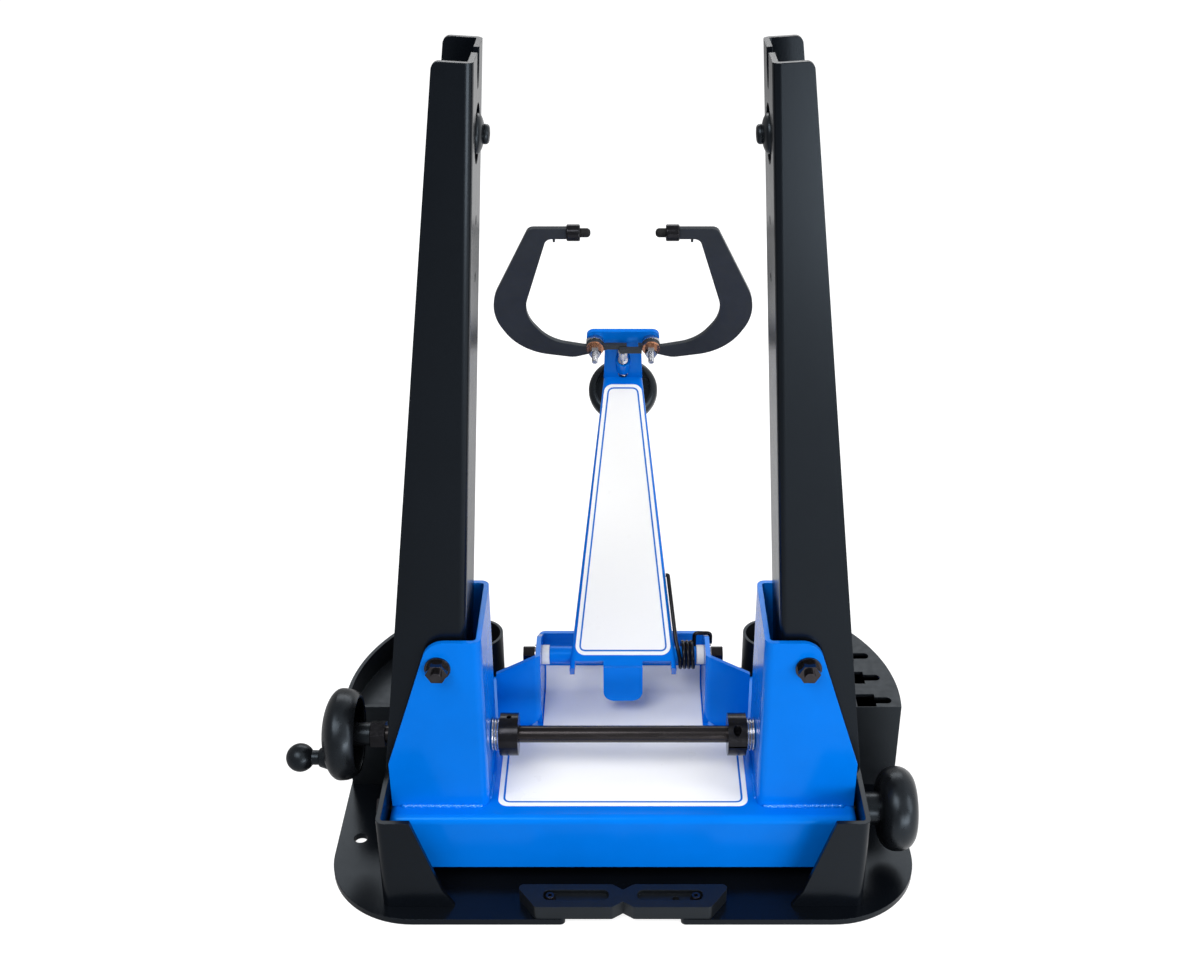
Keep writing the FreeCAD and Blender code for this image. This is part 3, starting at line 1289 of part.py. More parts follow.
part("spindle_rod", rod("spindle_bar", "X", "spindle", "-wheel_end + wheel_shell", "spindle_right", *SPINDLE))
part("left_collar", left_collar())
part("right_collar", right_collar())
part("collar_screws", collar_screws())
part("thrust_washers", thrust_washers())
part("jam_nut", jam_nut())
part("handwheel", handwheel())
part("crank_pin", rod("crank_pin_bar", "X", "crank_pin", "-crank_ball_x - 2", "4 - wheel_end",
                      "crank_y", "crank_z"))
part("crank_handle", crank_handle())
part("left_traveller_nut", traveller_nut("left", "-nut_x"))
part("right_traveller_nut", traveller_nut("right", "nut_x"))

# ---------------------------------------------------------------- arm pivot and arm screw

ARM_PIVOT = ("arm_y", "arm_z")
ARM_SCREW = ("0", "ascrew_z")


def arm_pivot_bolt():
    face = "(ear_x + arm_plain_thick)"
    end = f"{face} + arm_bolt_head_thick"
    shank = rod("arm_bolt_shank", "X", "arm_bolt", f"-{face}", end, *ARM_PIVOT)
    head = hexagon("arm_bolt_head_hex", "X", "arm_bolt_head", f"-({end})", f"-{face}", *ARM_PIVOT)
    return fuse("arm_pivot_bolt_whole", shank, head)


def arm_pivot_nut():
    start = "ear_x + arm_plain_thick"
    end = f"{start} + arm_bolt_head_thick"
    blank = hexagon("arm_nut_blank", "X", "arm_bolt_head", start, end, *ARM_PIVOT)
    hole = rod("arm_nut_hole", "X", "arm_bolt", "ear_in", f"{end} + 1", *ARM_PIVOT)
    return cut("arm_pivot_nut_whole", blank, hole)


def arm_plain_washers():
    span = ("ear_x", "ear_x + arm_plain_thick")
    right = tube("right_plain", "X", "arm_plain_washer", "arm_bolt", *span, *ARM_PIVOT)
    left = tube("left_plain", "X", "arm_plain_washer", "arm_bolt", f"-({span[1]})", "-ear_x", *ARM_PIVOT)
    return [left, right]


def nylon_washers():
    bore = "arm_bolt + 2 * running_fit"
    span = ("arm_washer_in", "arm_washer_in + arm_washer_thick")
    right = tube("right_nylon", "X", "arm_washer", bore, *span, *ARM_PIVOT)
    left = tube("left_nylon", "X", "arm_washer", bore, f"-({span[1]})", f"-{span[0]}", *ARM_PIVOT)
    return group("nylon_washers_set", left, right)


def arm_screw_nut():
    """Nut welded behind the rear wall."""
    blank = hexagon("ascrew_nut_blank", "Y", "ascrew_nut", "ear_rear", "ear_rear + ascrew_nut_long",
                    *ARM_SCREW)
    hole = rod("ascrew_nut_hole", "Y", "ascrew + 2 * running_fit", "rear_front",
               "ear_rear + ascrew_nut_long + 1", *ARM_SCREW)
    return cut("arm_screw_nut_whole", blank, hole)


def arm_knob():
    disc = rod("arm_knob_disc", "Y", "aknob", "aknob_start", "aknob_start + aknob_thick", *ARM_SCREW)
    rounded = soften("arm_knob_rounded", disc, value("aknob_thick") * 0.3,
                     lambda edge: edge.BoundBox.YLength < 0.001)
    hub = rod("arm_knob_hub", "Y", "ascrew * 2", "aknob_start - 5", "aknob_start + 1", *ARM_SCREW)
    bore = rod("arm_knob_bore", "Y", "ascrew", "aknob_start - 6", "aknob_start + aknob_thick * 0.7",
               *ARM_SCREW)
    return cut("arm_knob_whole", fuse("arm_knob_blank", rounded, hub), bore)


part("frame_bolts", group("frame_bolts_set", *pivot_bolts, left_tilt_bolt(), arm_pivot_bolt()))
part("frame_nuts", group("frame_nuts_set", *pivot_nuts, *tilt_nuts(), arm_pivot_nut()))
part("plain_washers", group("plain_washers_set", *pivot_spacers, *arm_plain_washers()))
part("nylon_washers", nylon_washers())
part("arm_screw_nut", arm_screw_nut())
pad_start = "tongue_back + ascrew_gap"
part("arm_screw_pad", common(
    "arm_screw_pad_whole",
    rod("ascrew_pad_bar", "Y", "ascrew_pad", pad_start, f"{pad_start} + ascrew_pad_long", *ARM_SCREW),
    ball("ascrew_pad_nose", "Y", "2 * ascrew_nose", f"{pad_start} + ascrew_nose", *ARM_SCREW)))
part("arm_screw", rod("ascrew_bar", "Y", "ascrew", f"{pad_start} + ascrew_pad_long",
                      "aknob_start + aknob_thick * 0.7", *ARM_SCREW))
part("arm_knob", arm_knob())

# ---------------------------------------------------------------- arm

def on_arm(piece):
    """Lean a piece drawn in the arm's frame: origin on the pivot, z along the arm."""
    return locate(piece, "0", "arm_y", "arm_z", Vector(1, 0, 0), "-arm_lean")


def on_head(piece):
    """Tilt a piece drawn in the head's frame: origin on the bend, z up the head."""
    return locate(piece, "0", "bend_y", "bend_z", Vector(1, 0, 0), "head_tilt")


def arm_outline(inset, low, high):
    """Tapering outline of the arm in its own frame between two levels."""
    def half(level):
        return f"(arm_foot - {inset} - arm_slope * ({level} + arm_foot_drop))"
    return [(f"-{half(low)}", low), (half(low), low), (half(high), high), (f"-{half(high)}", high)]


def arm():
    """Tapered channel with a bent tongue below and a bent neck and head above."""
    front = "-arm_front"
    face = slab("arm_face", "XZ", (front, "arm_back"), arm_outline("0", "-arm_tab_drop", "arm_long"))
    hollow = slab("arm_hollow", "XZ", (f"{front} + arm_sheet", "arm_back + 1"),
                  arm_outline("arm_sheet", "-arm_tab_drop - 1", "arm_long + 1"))
    doc.recompute()
    softened = doc.addObject("Part::Fillet", "arm_bends")
    softened.Base = face
    lines = [n for n, edge in enumerate(face.Shape.Edges, 1)
             if edge.BoundBox.YLength < 0.001 and edge.BoundBox.ZLength > value("arm_long")
             and edge.BoundBox.YMax < 0]
    softened.Edges = [(n, value("arm_bend"), value("arm_bend")) for n in lines]
    windows = []
    for tag, sign in (("left", "-"), ("right", "")):
        inner = f"{sign}tongue_half"
        outer = f"{sign}(arm_foot - arm_sheet)"
        x_span = (outer, inner) if sign else (inner, outer)
        windows.append(block(f"{tag}_arm_window", x_span, (f"{front} - 1", f"{front} + arm_sheet + 1"),
                             ("-arm_tab_drop - 1", "-arm_foot_drop")))
    below = block("arm_below_tongue", ("-tongue_half - 1", "tongue_half + 1"),
                  (f"{front} - 1", f"{front} + arm_sheet + 1"),
                  ("-arm_tab_drop - 4", "-arm_foot_drop - tongue_straight"))
    channel = on_arm(cut("arm_channel", softened, hollow, below, *windows))
    # the tongue hangs plumb from the foot of the face
    fold_y = "tongue_face"
    fold_z = "(arm_z - (arm_foot_drop + tongue_straight) * cos(arm_lean) + arm_front * sin(arm_lean))"
    tongue = slab("arm_tongue", "XZ", (fold_y, f"{fold_y} + arm_sheet"), [
        ("-tongue_half", f"{fold_z} - tongue_drop"),
        ("tongue_half", f"{fold_z} - tongue_drop"),
        ("tongue_half", f"{fold_z} + arm_sheet * 0.6"),
        ("-tongue_half", f"{fold_z} + arm_sheet * 0.6"),
    ])
    tongue = round_slab("arm_tongue_rounded", tongue, (0, 1), "tongue_radius")
    neck = slab("arm_neck", "XZ", ("0", "arm_sheet"), [
        ("-arm_crown", "-arm_sheet / 2"),
        ("arm_crown", "-arm_sheet / 2"),
        ("neck_half", "head_low"),
        ("head_half", "head_low"),
        ("head_half", "head_long"),
        ("-head_half", "head_long"),
        ("-head_half", "head_low"),
        ("-neck_half", "head_low"),
    ])
    neck = on_head(round_slab("arm_neck_rounded", neck, (3, 4, 5, 6), "head_radius"))
    tube_piece = rod("arm_tube_outer", "X", "arm_tube", "-tube_half", "tube_half", *ARM_PIVOT)
    whole = fuse("arm_blank", channel, tongue, neck, tube_piece)
    bore = rod("arm_tube_bore", "X", "arm_bolt + 2 * running_fit", "-ear_x", "ear_x", *ARM_PIVOT)
    guide_hole = rod("arm_guide_hole", "Y", "guide", "-cscrew_tip - 5", "0", "0", "cscrew_v")
    studs = []
    for tag, x in (("left", "-stud_x"), ("right", "stud_x")):
        studs.append(rod(f"{tag}_stud_hole", "Y", "stud", "-1", "arm_sheet + 1", x, "stud_h"))
    drilled = cut("arm_drilled", whole, bore, on_head(group("arm_stud_holes", *studs)))
    return cut("arm_whole", drilled, on_arm(group("arm_guide_holes", guide_hole)))


def arm_sticker():
    outline = [
        ("-arm_sticker_foot", "-arm_sticker_low"),
        ("arm_sticker_foot", "-arm_sticker_low"),
        ("arm_sticker_crown", "arm_sticker_high"),
        ("-arm_sticker_crown", "arm_sticker_high"),
    ]
    plate = slab("arm_sticker_plate", "XZ", ("-arm_front - sticker", "-arm_front"), outline)
    return on_arm(round_slab("arm_sticker_rounded", plate, (0, 1, 2, 3), "sticker_radius"))


def spring():
    """Torsion spring: coils round the pivot tube, one leg up the arm, one hooked on the ear."""
    radius = value("coil_radius")
    pitch = value("coil_pitch")
    wire = value("wire")
    start = value("coil_start")
    centre = Vector(0, value("arm_y"), value("arm_z"))
    lean = math.radians(value("arm_lean"))
    # angles run from straight down towards the back; the leg leaves in front, the hook behind
    first_turn = 1.5 * math.pi - lean
    last_turn = math.pi / 2
    turns = math.ceil(value("coil_turns")) + (last_turn - first_turn) / (2 * math.pi)
    helix = Part.makeHelix(pitch, pitch * turns, radius)
    helix.Placement = Placement(Vector(start, centre.y, centre.z), AXES["X"])
    helix.rotate(centre, Vector(1, 0, 0), math.degrees(first_turn))
    first = helix.Vertexes[0].Point
    last = helix.Vertexes[-1].Point
    slope = value("arm_slope")
    along_arm = Vector(-slope, math.sin(lean), math.cos(lean)).normalize()
    root = Vector(value("arm_foot") - slope * value("arm_foot_drop") + wire / 2 + value("coil_clear"),
                  first.y, first.z)
    leg_end = root + along_arm * value("leg_long")
    inward = leg_end - Vector(wire * 0.6, 0, 0)
    fall = (value("ear_top") - value("rear_top")) / (value("rear_front") - value("ear_level"))
    over = value("ear_top") - fall * (last.y - value("ear_level"))
    over += (wire / 2 + value("coil_clear")) * math.hypot(1, fall)
    outside = value("ear_x") + wire / 2 + value("coil_clear")
    hook = [last, Vector(last.x, last.y, over), Vector(outside, last.y, over),
            Vector(outside, last.y, over - 3 * wire)]
    path = Part.Wire(helix.Edges)
    ring = Part.Wire(Part.makeCircle(wire / 2, first, along_arm))
    pieces = [path.makePipeShell([ring], True, True)]
    for chain in ([first, root, leg_end, inward], hook):
        for begin, end in zip(chain, chain[1:]):
            run = end - begin
            if run.Length > 0.01:
                pieces.append(Part.makeCylinder(wire / 2, run.Length, begin, run))
        for knee in chain[:-1]:
            pieces.append(Part.makeSphere(wire / 2, knee))
    piece = doc.addObject("Part::Feature", "torsion_spring_wire")
    piece.Shape = pieces[0].fuse(pieces[1:])
    return piece


part("arm", arm())
part("arm_sticker", arm_sticker())
part("torsion_spring", spring())

# ---------------------------------------------------------------- calipers

STUDS = (("left", "-stud_x"), ("right", "stud_x"))


def caliper(tag, stepped):
    """Caliper in the head's frame, drawn as the left one; its lever passes the centre line."""
    outline = [
        ("-lever_root_x", "lever_top"),
        ("-inner_root_x", "inner_root_h"),
        ("-inner_knee_x", "inner_knee_h"),
        ("-inner_elbow_x", "inner_elbow_h"),
        ("-inner_tip_x", "inner_tip_h"),
        ("-tip_root_x", "inner_tip_h"),
        ("-tip_root_x", "outer_tip_h"),
        ("-outer_tip_x", "outer_tip_h"),
        ("-outer_elbow_x", "outer_elbow_h"),
        ("-outer_knee_x", "outer_knee_h"),
        ("-outer_root_x", "outer_root_h"),
        ("-lever_root_x", "lever_low"),
    ]
    layer = ("-left_layer - caliper_sheet", "-left_layer")
    plate = slab(f"{tag}_caliper_plate", "XZ", layer, outline)
    doc.recompute()
    rounded = doc.addObject("Part::Fillet", f"{tag}_caliper_rounded")
    rounded.Base = plate
    bends = (
        ("caliper_outer_bend", (8, 9)),
        ("caliper_inner_bend", (2, 3)),
        ("caliper_tip_bend", (4, 7)),
        ("caliper_round", (1, 10)),
    )
    edges = []
    for size, corners in bends:
        radius = value(size)
        edges += [(n, radius, radius) for n in lines_from(plate.Shape, plate.Base, corners)]
    rounded.Edges = edges
    eye = rod(f"{tag}_caliper_eye", "Y", "caliper_eye", *layer, "-stud_x", "stud_h")
    peg = rod(f"{tag}_caliper_peg", "Z", "tip_pin", "inner_tip_h - tip_pin_reach",
              "inner_tip_h + 1", "-tip_pin_x", "-left_layer - caliper_sheet / 2")
    if stepped:
        front = ("-right_layer - caliper_sheet", "-right_layer")
        levels = ("lever_low - lever_fall", "lever_top - lever_fall")
        lever = block("caliper_lever", ("-lever_step_x", "lever_end"), front, levels)
        step = block("caliper_step", ("-lever_step_x", "-lever_root_x"), (front[0], layer[1]), levels)
        levers = (lever, step)
    else:
        levers = (block("caliper_straight_lever", ("-lever_root_x - 1", "lever_end"), layer,
                        ("lever_low", "lever_top")),)
    hole = rod(f"{tag}_caliper_hole", "Y", "stud + 2 * running_fit", "-left_layer - caliper_sheet - 1",
               "-left_layer + 1", "-stud_x", "stud_h")
    return cut(f"{tag}_caliper_flat", fuse(f"{tag}_caliper_blank", rounded, eye, peg, *levers), hole)


def tip_pieces(tag):
    """Sleeve and rounded nose on the caliper's end, drawn for the left one."""
    middle = "-left_layer - caliper_sheet / 2"
    spot = (middle, "tip_h")
    sleeve = rod(f"{tag}_sleeve", "X", "sleeve", "-tip_root_x", "sleeve_long - tip_root_x", *spot)
    sleeve = soften(f"{tag}_sleeve_soft", sleeve, 1.0, lambda edge: edge.BoundBox.XLength < 0.001)
    nose = rod(f"{tag}_tip", "X", "tip", "sleeve_long - tip_root_x",
               "sleeve_long + tip_long - tip_root_x", *spot)
    end = value("sleeve_long") + value("tip_long") - value("tip_root_x")
    nose = soften(f"{tag}_tip_soft", nose, value("tip") * 0.42,
                  lambda edge: edge.BoundBox.XLength < 0.001 and abs(edge.BoundBox.XMin - end) < 0.01)
    return sleeve, nose


part("left_caliper", on_head(group("left_caliper_set", caliper("left", False))))
right_flat = mirrored("right_caliper_mirror", caliper("right", True))
part("right_caliper", on_head(group("right_caliper_set", right_flat)))
left_sleeve, left_nose = tip_pieces("left")
part("left_caliper_sleeve", on_head(group("left_sleeve_set", left_sleeve)))
part("left_caliper_tip", on_head(group("left_tip_set", left_nose)))
right_sleeve = mirrored("right_sleeve_mirror", left_sleeve)
right_nose = mirrored("right_nose_mirror", left_nose)
part("right_caliper_sleeve", on_head(group("right_sleeve_set", right_sleeve)))
part("right_caliper_tip", on_head(group("right_tip_set", right_nose)))


def stud_stack():
    """Studs, spacers, copper washers and nuts that hold the calipers."""
    studs, spacers, washers, nuts = [], [], [], []
    fit = "stud + 2 * running_fit"
    for tag, x in STUDS:
        spot = (x, "stud_h")
        bar = rod(f"{tag}_stud_bar", "Y", "stud", "-stud_reach", "arm_sheet", *spot)
        head = hexagon(f"{tag}_stud_head", "Y", "stud_nut", "arm_sheet", "arm_sheet + 4", *spot)
        studs.append(fuse(f"{tag}_stud", bar, head))
        spacers.append(tube(f"{tag}_spacer", "Y", "spacer", "stud", "-spacer_thick", "0", *spot))
        face = "-right_layer"
        washers.append(tube(f"{tag}_copper", "Y", "copper_washer", "stud", f"{face} - copper_thick",
                            face, *spot))
        back = f"{face} - copper_thick"
        blank = hexagon(f"{tag}_stud_nut_blank", "Y", "stud_nut", f"{back} - stud_nut_thick", back, *spot)
        hole = rod(f"{tag}_stud_nut_hole", "Y", "stud", f"{back} - stud_nut_thick - 1", f"{back} + 1", *spot)
        nuts.append(cut(f"{tag}_stud_nut", blank, hole))
    part("caliper_studs", on_head(group("studs_set", *studs)))
    part("caliper_spacers", on_head(group("spacers_set", *spacers)))
    part("copper_washers", on_head(group("copper_set", *washers)))
    part("stud_nuts", on_head(group("stud_nuts_set", *nuts)))


stud_stack()

# ---------------------------------------------------------------- caliper screw

CALIPER_SCREW = ("0", "cscrew_v")


def caliper_screw_pad():
    back = "cscrew_pad_long - cscrew_tip"
    body = rod("cscrew_pad_body", "Y", "cscrew", "cscrew_bevel - cscrew_tip", back, *CALIPER_SCREW)
    nose = taper("cscrew_pad_nose", "Y", "cscrew_nose", "cscrew", "-cscrew_tip",
                 "cscrew_bevel - cscrew_tip", *CALIPER_SCREW)
    return on_arm(fuse("cscrew_pad_whole", body, nose))


def caliper_knob():
    """Dished knob with its open side towards the arm."""
    end = "cknob_start + cknob_thick"
    disc = rod("cknob_disc", "Y", "cknob", "cknob_start", end, *CALIPER_SCREW)
    rounded = soften("cknob_rounded", disc, value("cknob_round"),
                     lambda edge: edge.BoundBox.YLength < 0.001)
    hub = rod("cknob_hub", "Y", "cscrew * 2", "cknob_start", "cknob_start + cknob_dish", *CALIPER_SCREW)
    dish = rod("cknob_dish_cut", "Y", "cknob - 2 * cknob_rim", "cknob_start - 1",
               "cknob_start + cknob_dish", *CALIPER_SCREW)
    hollow = cut("cknob_hollow", rounded, dish)
    bore = rod("cknob_bore", "Y", "cscrew", "cknob_start - 1", "cknob_start + cknob_thick - 3",
               *CALIPER_SCREW)
    return on_arm(cut("cknob_whole", fuse("cknob_blank", hollow, hub), bore))


part("caliper_screw_pad", caliper_screw_pad())
part("caliper_screw", on_arm(group("cscrew_set", rod(
    "cscrew_bar", "Y", "cscrew", "cscrew_pad_long - cscrew_tip",
    "cknob_start + cknob_thick - 3", *CALIPER_SCREW))))
guide = tube("guide_tube", "Y", "guide", "cscrew + 2 * running_fit", "-guide_front",
             "-guide_back", *CALIPER_SCREW)
bush = tube("bush_tube", "Y", "bush", "cscrew + 2 * running_fit", "bush_start",
            "bush_start + bush_long", *CALIPER_SCREW)
part("screw_guides", on_arm(group("screw_guides_set", guide, bush)))
part("caliper_knob", caliper_knob())

# ---------------------------------------------------------------- check and write

doc.recompute()
broken = [thing.Name for thing in doc.Objects if {"Invalid", "Error"} & set(thing.State)]
if broken:
    raise RuntimeError("not built: " + ", ".join(broken))
for piece in PARTS:
    if piece.Shape.isNull() or not piece.Shape.isValid() or not piece.Shape.Solids:
        raise RuntimeError("bad shape: " + piece.Label)

os.makedirs("parts", exist_ok=True)
for piece in PARTS:
    piece.Shape.exportStep(f"parts/{piece.Label}.step")
    box = piece.Shape.BoundBox
    print(f"{piece.Label:24s} solids {len(piece.Shape.Solids)} volume {piece.Shape.Volume:10.1f} "
          f"x {box.XMin:7.1f} {box.XMax:7.1f} y {box.YMin:7.1f} {box.YMax:7.1f} "
          f"z {box.ZMin:7.1f} {box.ZMax:7.1f}")
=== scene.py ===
"""Looks of the wheel truing stand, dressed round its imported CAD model.

Lengths are in millimetres until MM turns them into metres. Left is -X, right is +X, and the
camera stands at -Y.
"""

import math

import bpy
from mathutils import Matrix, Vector


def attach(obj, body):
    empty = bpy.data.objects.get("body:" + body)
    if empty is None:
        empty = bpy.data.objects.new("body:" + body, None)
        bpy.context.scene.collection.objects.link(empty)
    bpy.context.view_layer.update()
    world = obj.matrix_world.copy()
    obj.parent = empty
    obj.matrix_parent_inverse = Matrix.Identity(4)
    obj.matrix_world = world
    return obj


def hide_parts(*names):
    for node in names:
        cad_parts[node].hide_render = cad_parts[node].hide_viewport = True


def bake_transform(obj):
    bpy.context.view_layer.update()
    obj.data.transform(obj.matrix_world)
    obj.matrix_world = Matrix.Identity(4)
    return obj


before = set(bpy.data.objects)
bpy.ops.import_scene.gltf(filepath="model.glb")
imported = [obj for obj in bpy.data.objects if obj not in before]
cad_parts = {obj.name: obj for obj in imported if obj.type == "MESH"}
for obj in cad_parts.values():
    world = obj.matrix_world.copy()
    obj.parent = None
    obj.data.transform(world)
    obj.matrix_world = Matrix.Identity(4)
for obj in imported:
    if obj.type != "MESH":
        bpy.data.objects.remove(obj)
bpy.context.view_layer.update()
scene = bpy.context.scene
scene.view_settings.view_transform = "Standard"

MM = 0.001
X, Y, Z = Vector((1, 0, 0)), Vector((0, 1, 0)), Vector((0, 0, 1))
SIDES = (("left", -1), ("right", 1))
LEFT_HANDED, RIGHT_HANDED = -1, 1

# Places that the solids give.
SPINDLE = Vector((0, -55.5, 81.5))
ARM_SCREW = Vector((0, 0, 75))
ARM_PIVOT = Vector((0, 13, 92))
ARM_LEAN = math.radians(52)
HEAD_TILT = math.radians(20)

# ---------------------------------------------------------------- camera


def make_camera():
    """The photograph's view, from the front and above."""
    photo_width, sideways = 1200, -23
    look_down = math.radians(28.9)
    camera = bpy.data.objects.new("camera", bpy.data.cameras.new("camera"))
    scene.collection.objects.link(camera)
    camera.data.lens = 45
    camera.data.sensor_width = 36
    camera.data.shift_x = sideways / photo_width
    camera.data.clip_start = 0.05
    camera.data.clip_end = 30
    camera.location = (0, -0.785, 0.662)
    camera.rotation_euler = (math.pi / 2 - look_down, 0, 0)
    scene.camera = camera


make_camera()

# ---------------------------------------------------------------- nodes


class Wiring:
    """Adds and joins the nodes of one tree, which starts empty."""

    def __init__(self, tree):
        self.nodes, self.links = tree.nodes, tree.links
        self.nodes.clear()

    def add(self, kind, inputs=None, **settings):
        """A new node; inputs are the values of its own sockets."""
        node = self.nodes.new(kind)
        for name, value in settings.items():
            setattr(node, name, value)
        for name, value in (inputs or {}).items():
            node.inputs[name].default_value = value
        return node

    def link(self, source, out, target, into):
        self.links.new(source.outputs[out], target.inputs[into])

    def ramp(self, source, out, stops):
        """Colours over a value; the two stops are (position, colour)."""
        node = self.add("ShaderNodeValToRGB")
        for element, (position, shade) in zip(node.color_ramp.elements, stops):
            element.position = position
            element.color = (*shade, 1)
        self.link(source, out, node, "Fac")
        return node

    def maths(self, operation, first, second):
        """A sum or a product of two outputs, each given as (node, output)."""
        node = self.add("ShaderNodeMath", operation=operation)
        self.link(*first, node, 0)
        self.link(*second, node, 1)
        return node


class Surface(Wiring):
    """One material: a Principled shader, and noise in the piece's own space."""

    def __init__(self, name):
        self.material = bpy.data.materials.new(name)
        self.material.use_nodes = True
        super().__init__(self.material.node_tree)
        self.output = self.add("ShaderNodeOutputMaterial")
        self.shader = self.add("ShaderNodeBsdfPrincipled")
        self.link(self.shader, "BSDF", self.output, "Surface")
        self.place = self.add("ShaderNodeTexCoord")

    def noise(self, scale, detail=3.0, stretch=None):
        """The scale counts features per metre; stretch makes them longer along an axis."""
        node = self.add("ShaderNodeTexNoise", {"Scale": scale, "Detail": detail})
        source, out = self.place, "Object"
        if stretch:
            mapping = self.add("ShaderNodeMapping", {"Scale": stretch})
            self.link(source, out, mapping, "Vector")
            source, out = mapping, "Vector"
        self.link(source, out, node, "Vector")
        return node

    def spread(self, source, low, high):
        """Noise as a value from low to high."""
        limits = {"From Min": 0.3, "From Max": 0.7, "To Min": low, "To Max": high}
        node = self.add("ShaderNodeMapRange", limits)
        self.link(source, "Fac", node, "Value")
        return node

    def bump(self, source, depth, under=None):
        node = self.add("ShaderNodeBump", {"Strength": 1.0, "Distance": depth * MM})
        self.link(source, "Fac", node, "Height")
        if under:
            self.link(under, "Normal", node, "Normal")
        return node


# ---------------------------------------------------------------- finishes


def finish(name, shade, roughness, metal=0.0, grain=(900, 0.01), mottle=(40, 0.08), edge=0.4,
           smear=0.05, stretch=None, level=0.5, sheen=(1, 1, 1)):
    """A surface with mottled colour, uneven gloss, fine grain and softened edges.

    grain is (features per metre, depth) and mottle is (features per metre, share of colour).
    """
    gloss_finer = 3.7
    surface = Surface(name)
    shader = surface.shader
    shader.inputs["Metallic"].default_value = metal
    shader.inputs["Specular IOR Level"].default_value = level
    shader.inputs["Specular Tint"].default_value = (*sheen, 1)

    scale, share = mottle
    darker = [c * (1 - share) for c in shade]
    lighter = [min(1.0, c * (1 + share)) for c in shade]
    broad = surface.noise(scale, 4.0, stretch)
    tint = surface.ramp(broad, "Fac", ((0.32, darker), (0.68, lighter)))
    surface.link(tint, "Color", shader, "Base Color")

    gloss = surface.noise(scale * gloss_finer, 5.0, stretch)
    uneven = surface.spread(gloss, roughness - smear, roughness + smear)
    surface.link(uneven, "Result", shader, "Roughness")

    scale, depth = grain
    fine = surface.noise(scale, 2.0, stretch)
    soft = surface.add("ShaderNodeBevel", {"Radius": edge * MM}, samples=4) if edge else None
    surface.link(surface.bump(fine, depth, soft), "Normal", shader, "Normal")
    return surface.material


def colour(*screen):
    """Linear colour from the 0 to 255 values of a screen."""
    return tuple(v / 12.92 if v <= 0.04045 else ((v + 0.055) / 1.055) ** 2.4
                 for v in (part / 255 for part in screen))


COOL = (0.72, 0.86, 1.0)  # tint of what the black finishes reflect
BLUE = finish("blue_powder_coat", colour(0, 113, 221), 0.2, grain=(420, 0.008),
              mottle=(22, 0.05), edge=0.6, smear=0.02, level=0.4, sheen=(0.1, 0.5, 0.9))
WELD = finish("blue_weld_bead", colour(0, 116, 224), 0.14, grain=(600, 0.01),
              mottle=(90, 0.08), edge=0, smear=0.03, level=1.0, sheen=(0.6, 0.85, 1.0))
BLACK = finish("black_powder_coat", colour(8, 11, 16), 0.24, grain=(620, 0.008),
               mottle=(30, 0.08), edge=0.6, smear=0.012, level=0.25, sheen=COOL)
PLASTIC = finish("black_moulding", colour(15, 17, 20), 0.42, grain=(1500, 0.02),
                 mottle=(60, 0.12), edge=0.5, level=0.4, sheen=COOL)
KNOB = finish("black_knob", colour(15, 17, 20), 0.3, grain=(1200, 0.01),
              mottle=(60, 0.12), edge=0.5, level=0.35, sheen=COOL)
RUBBER = finish("black_rubber", colour(20, 20, 21), 0.72, grain=(1400, 0.03),
                mottle=(90, 0.15), smear=0.06, level=0.3)
OXIDE = finish("black_oxide_steel", colour(36, 36, 40), 0.2, metal=0.8, grain=(900, 0.006),
               mottle=(140, 0.25), edge=0.3, smear=0.06)
CHROME = finish("black_chrome", colour(62, 60, 63), 0.13, metal=0.9, grain=(900, 0.006),
                mottle=(140, 0.2), edge=0.3)
CALIPER = finish("dark_grey_steel", colour(48, 50, 53), 0.38, grain=(700, 0.01),
                 mottle=(60, 0.08), edge=0.5, level=0.4, sheen=COOL)
ROD = finish("black_spindle_steel", colour(50, 47, 48), 0.24, metal=0.8, grain=(500, 0.008),
             mottle=(120, 0.2), edge=0.3, smear=0.07, stretch=(0.15, 1, 1))
ZINC = finish("zinc_plate", colour(190, 191, 196), 0.22, metal=1.0, grain=(700, 0.006),
              mottle=(160, 0.12), edge=0.25, smear=0.07)
COPPER = finish("copper_washer", colour(198, 140, 106), 0.24, metal=1.0, grain=(600, 0.006),
                mottle=(200, 0.15), edge=0.25, smear=0.07)
NYLON = finish("white_nylon", colour(236, 234, 230), 0.4, grain=(900, 0.008),
               mottle=(80, 0.03), edge=0.5)
PAPER = finish("white_sticker", colour(252, 252, 251), 0.3, grain=(300, 0.004),
               mottle=(18, 0.012), edge=0.15, smear=0.03, level=0.3)
STRIPE = finish("blue_stripe", colour(0, 110, 206), 0.32, grain=(300, 0.003),
                mottle=(60, 0.06), edge=0, smear=0.03, level=0.2)

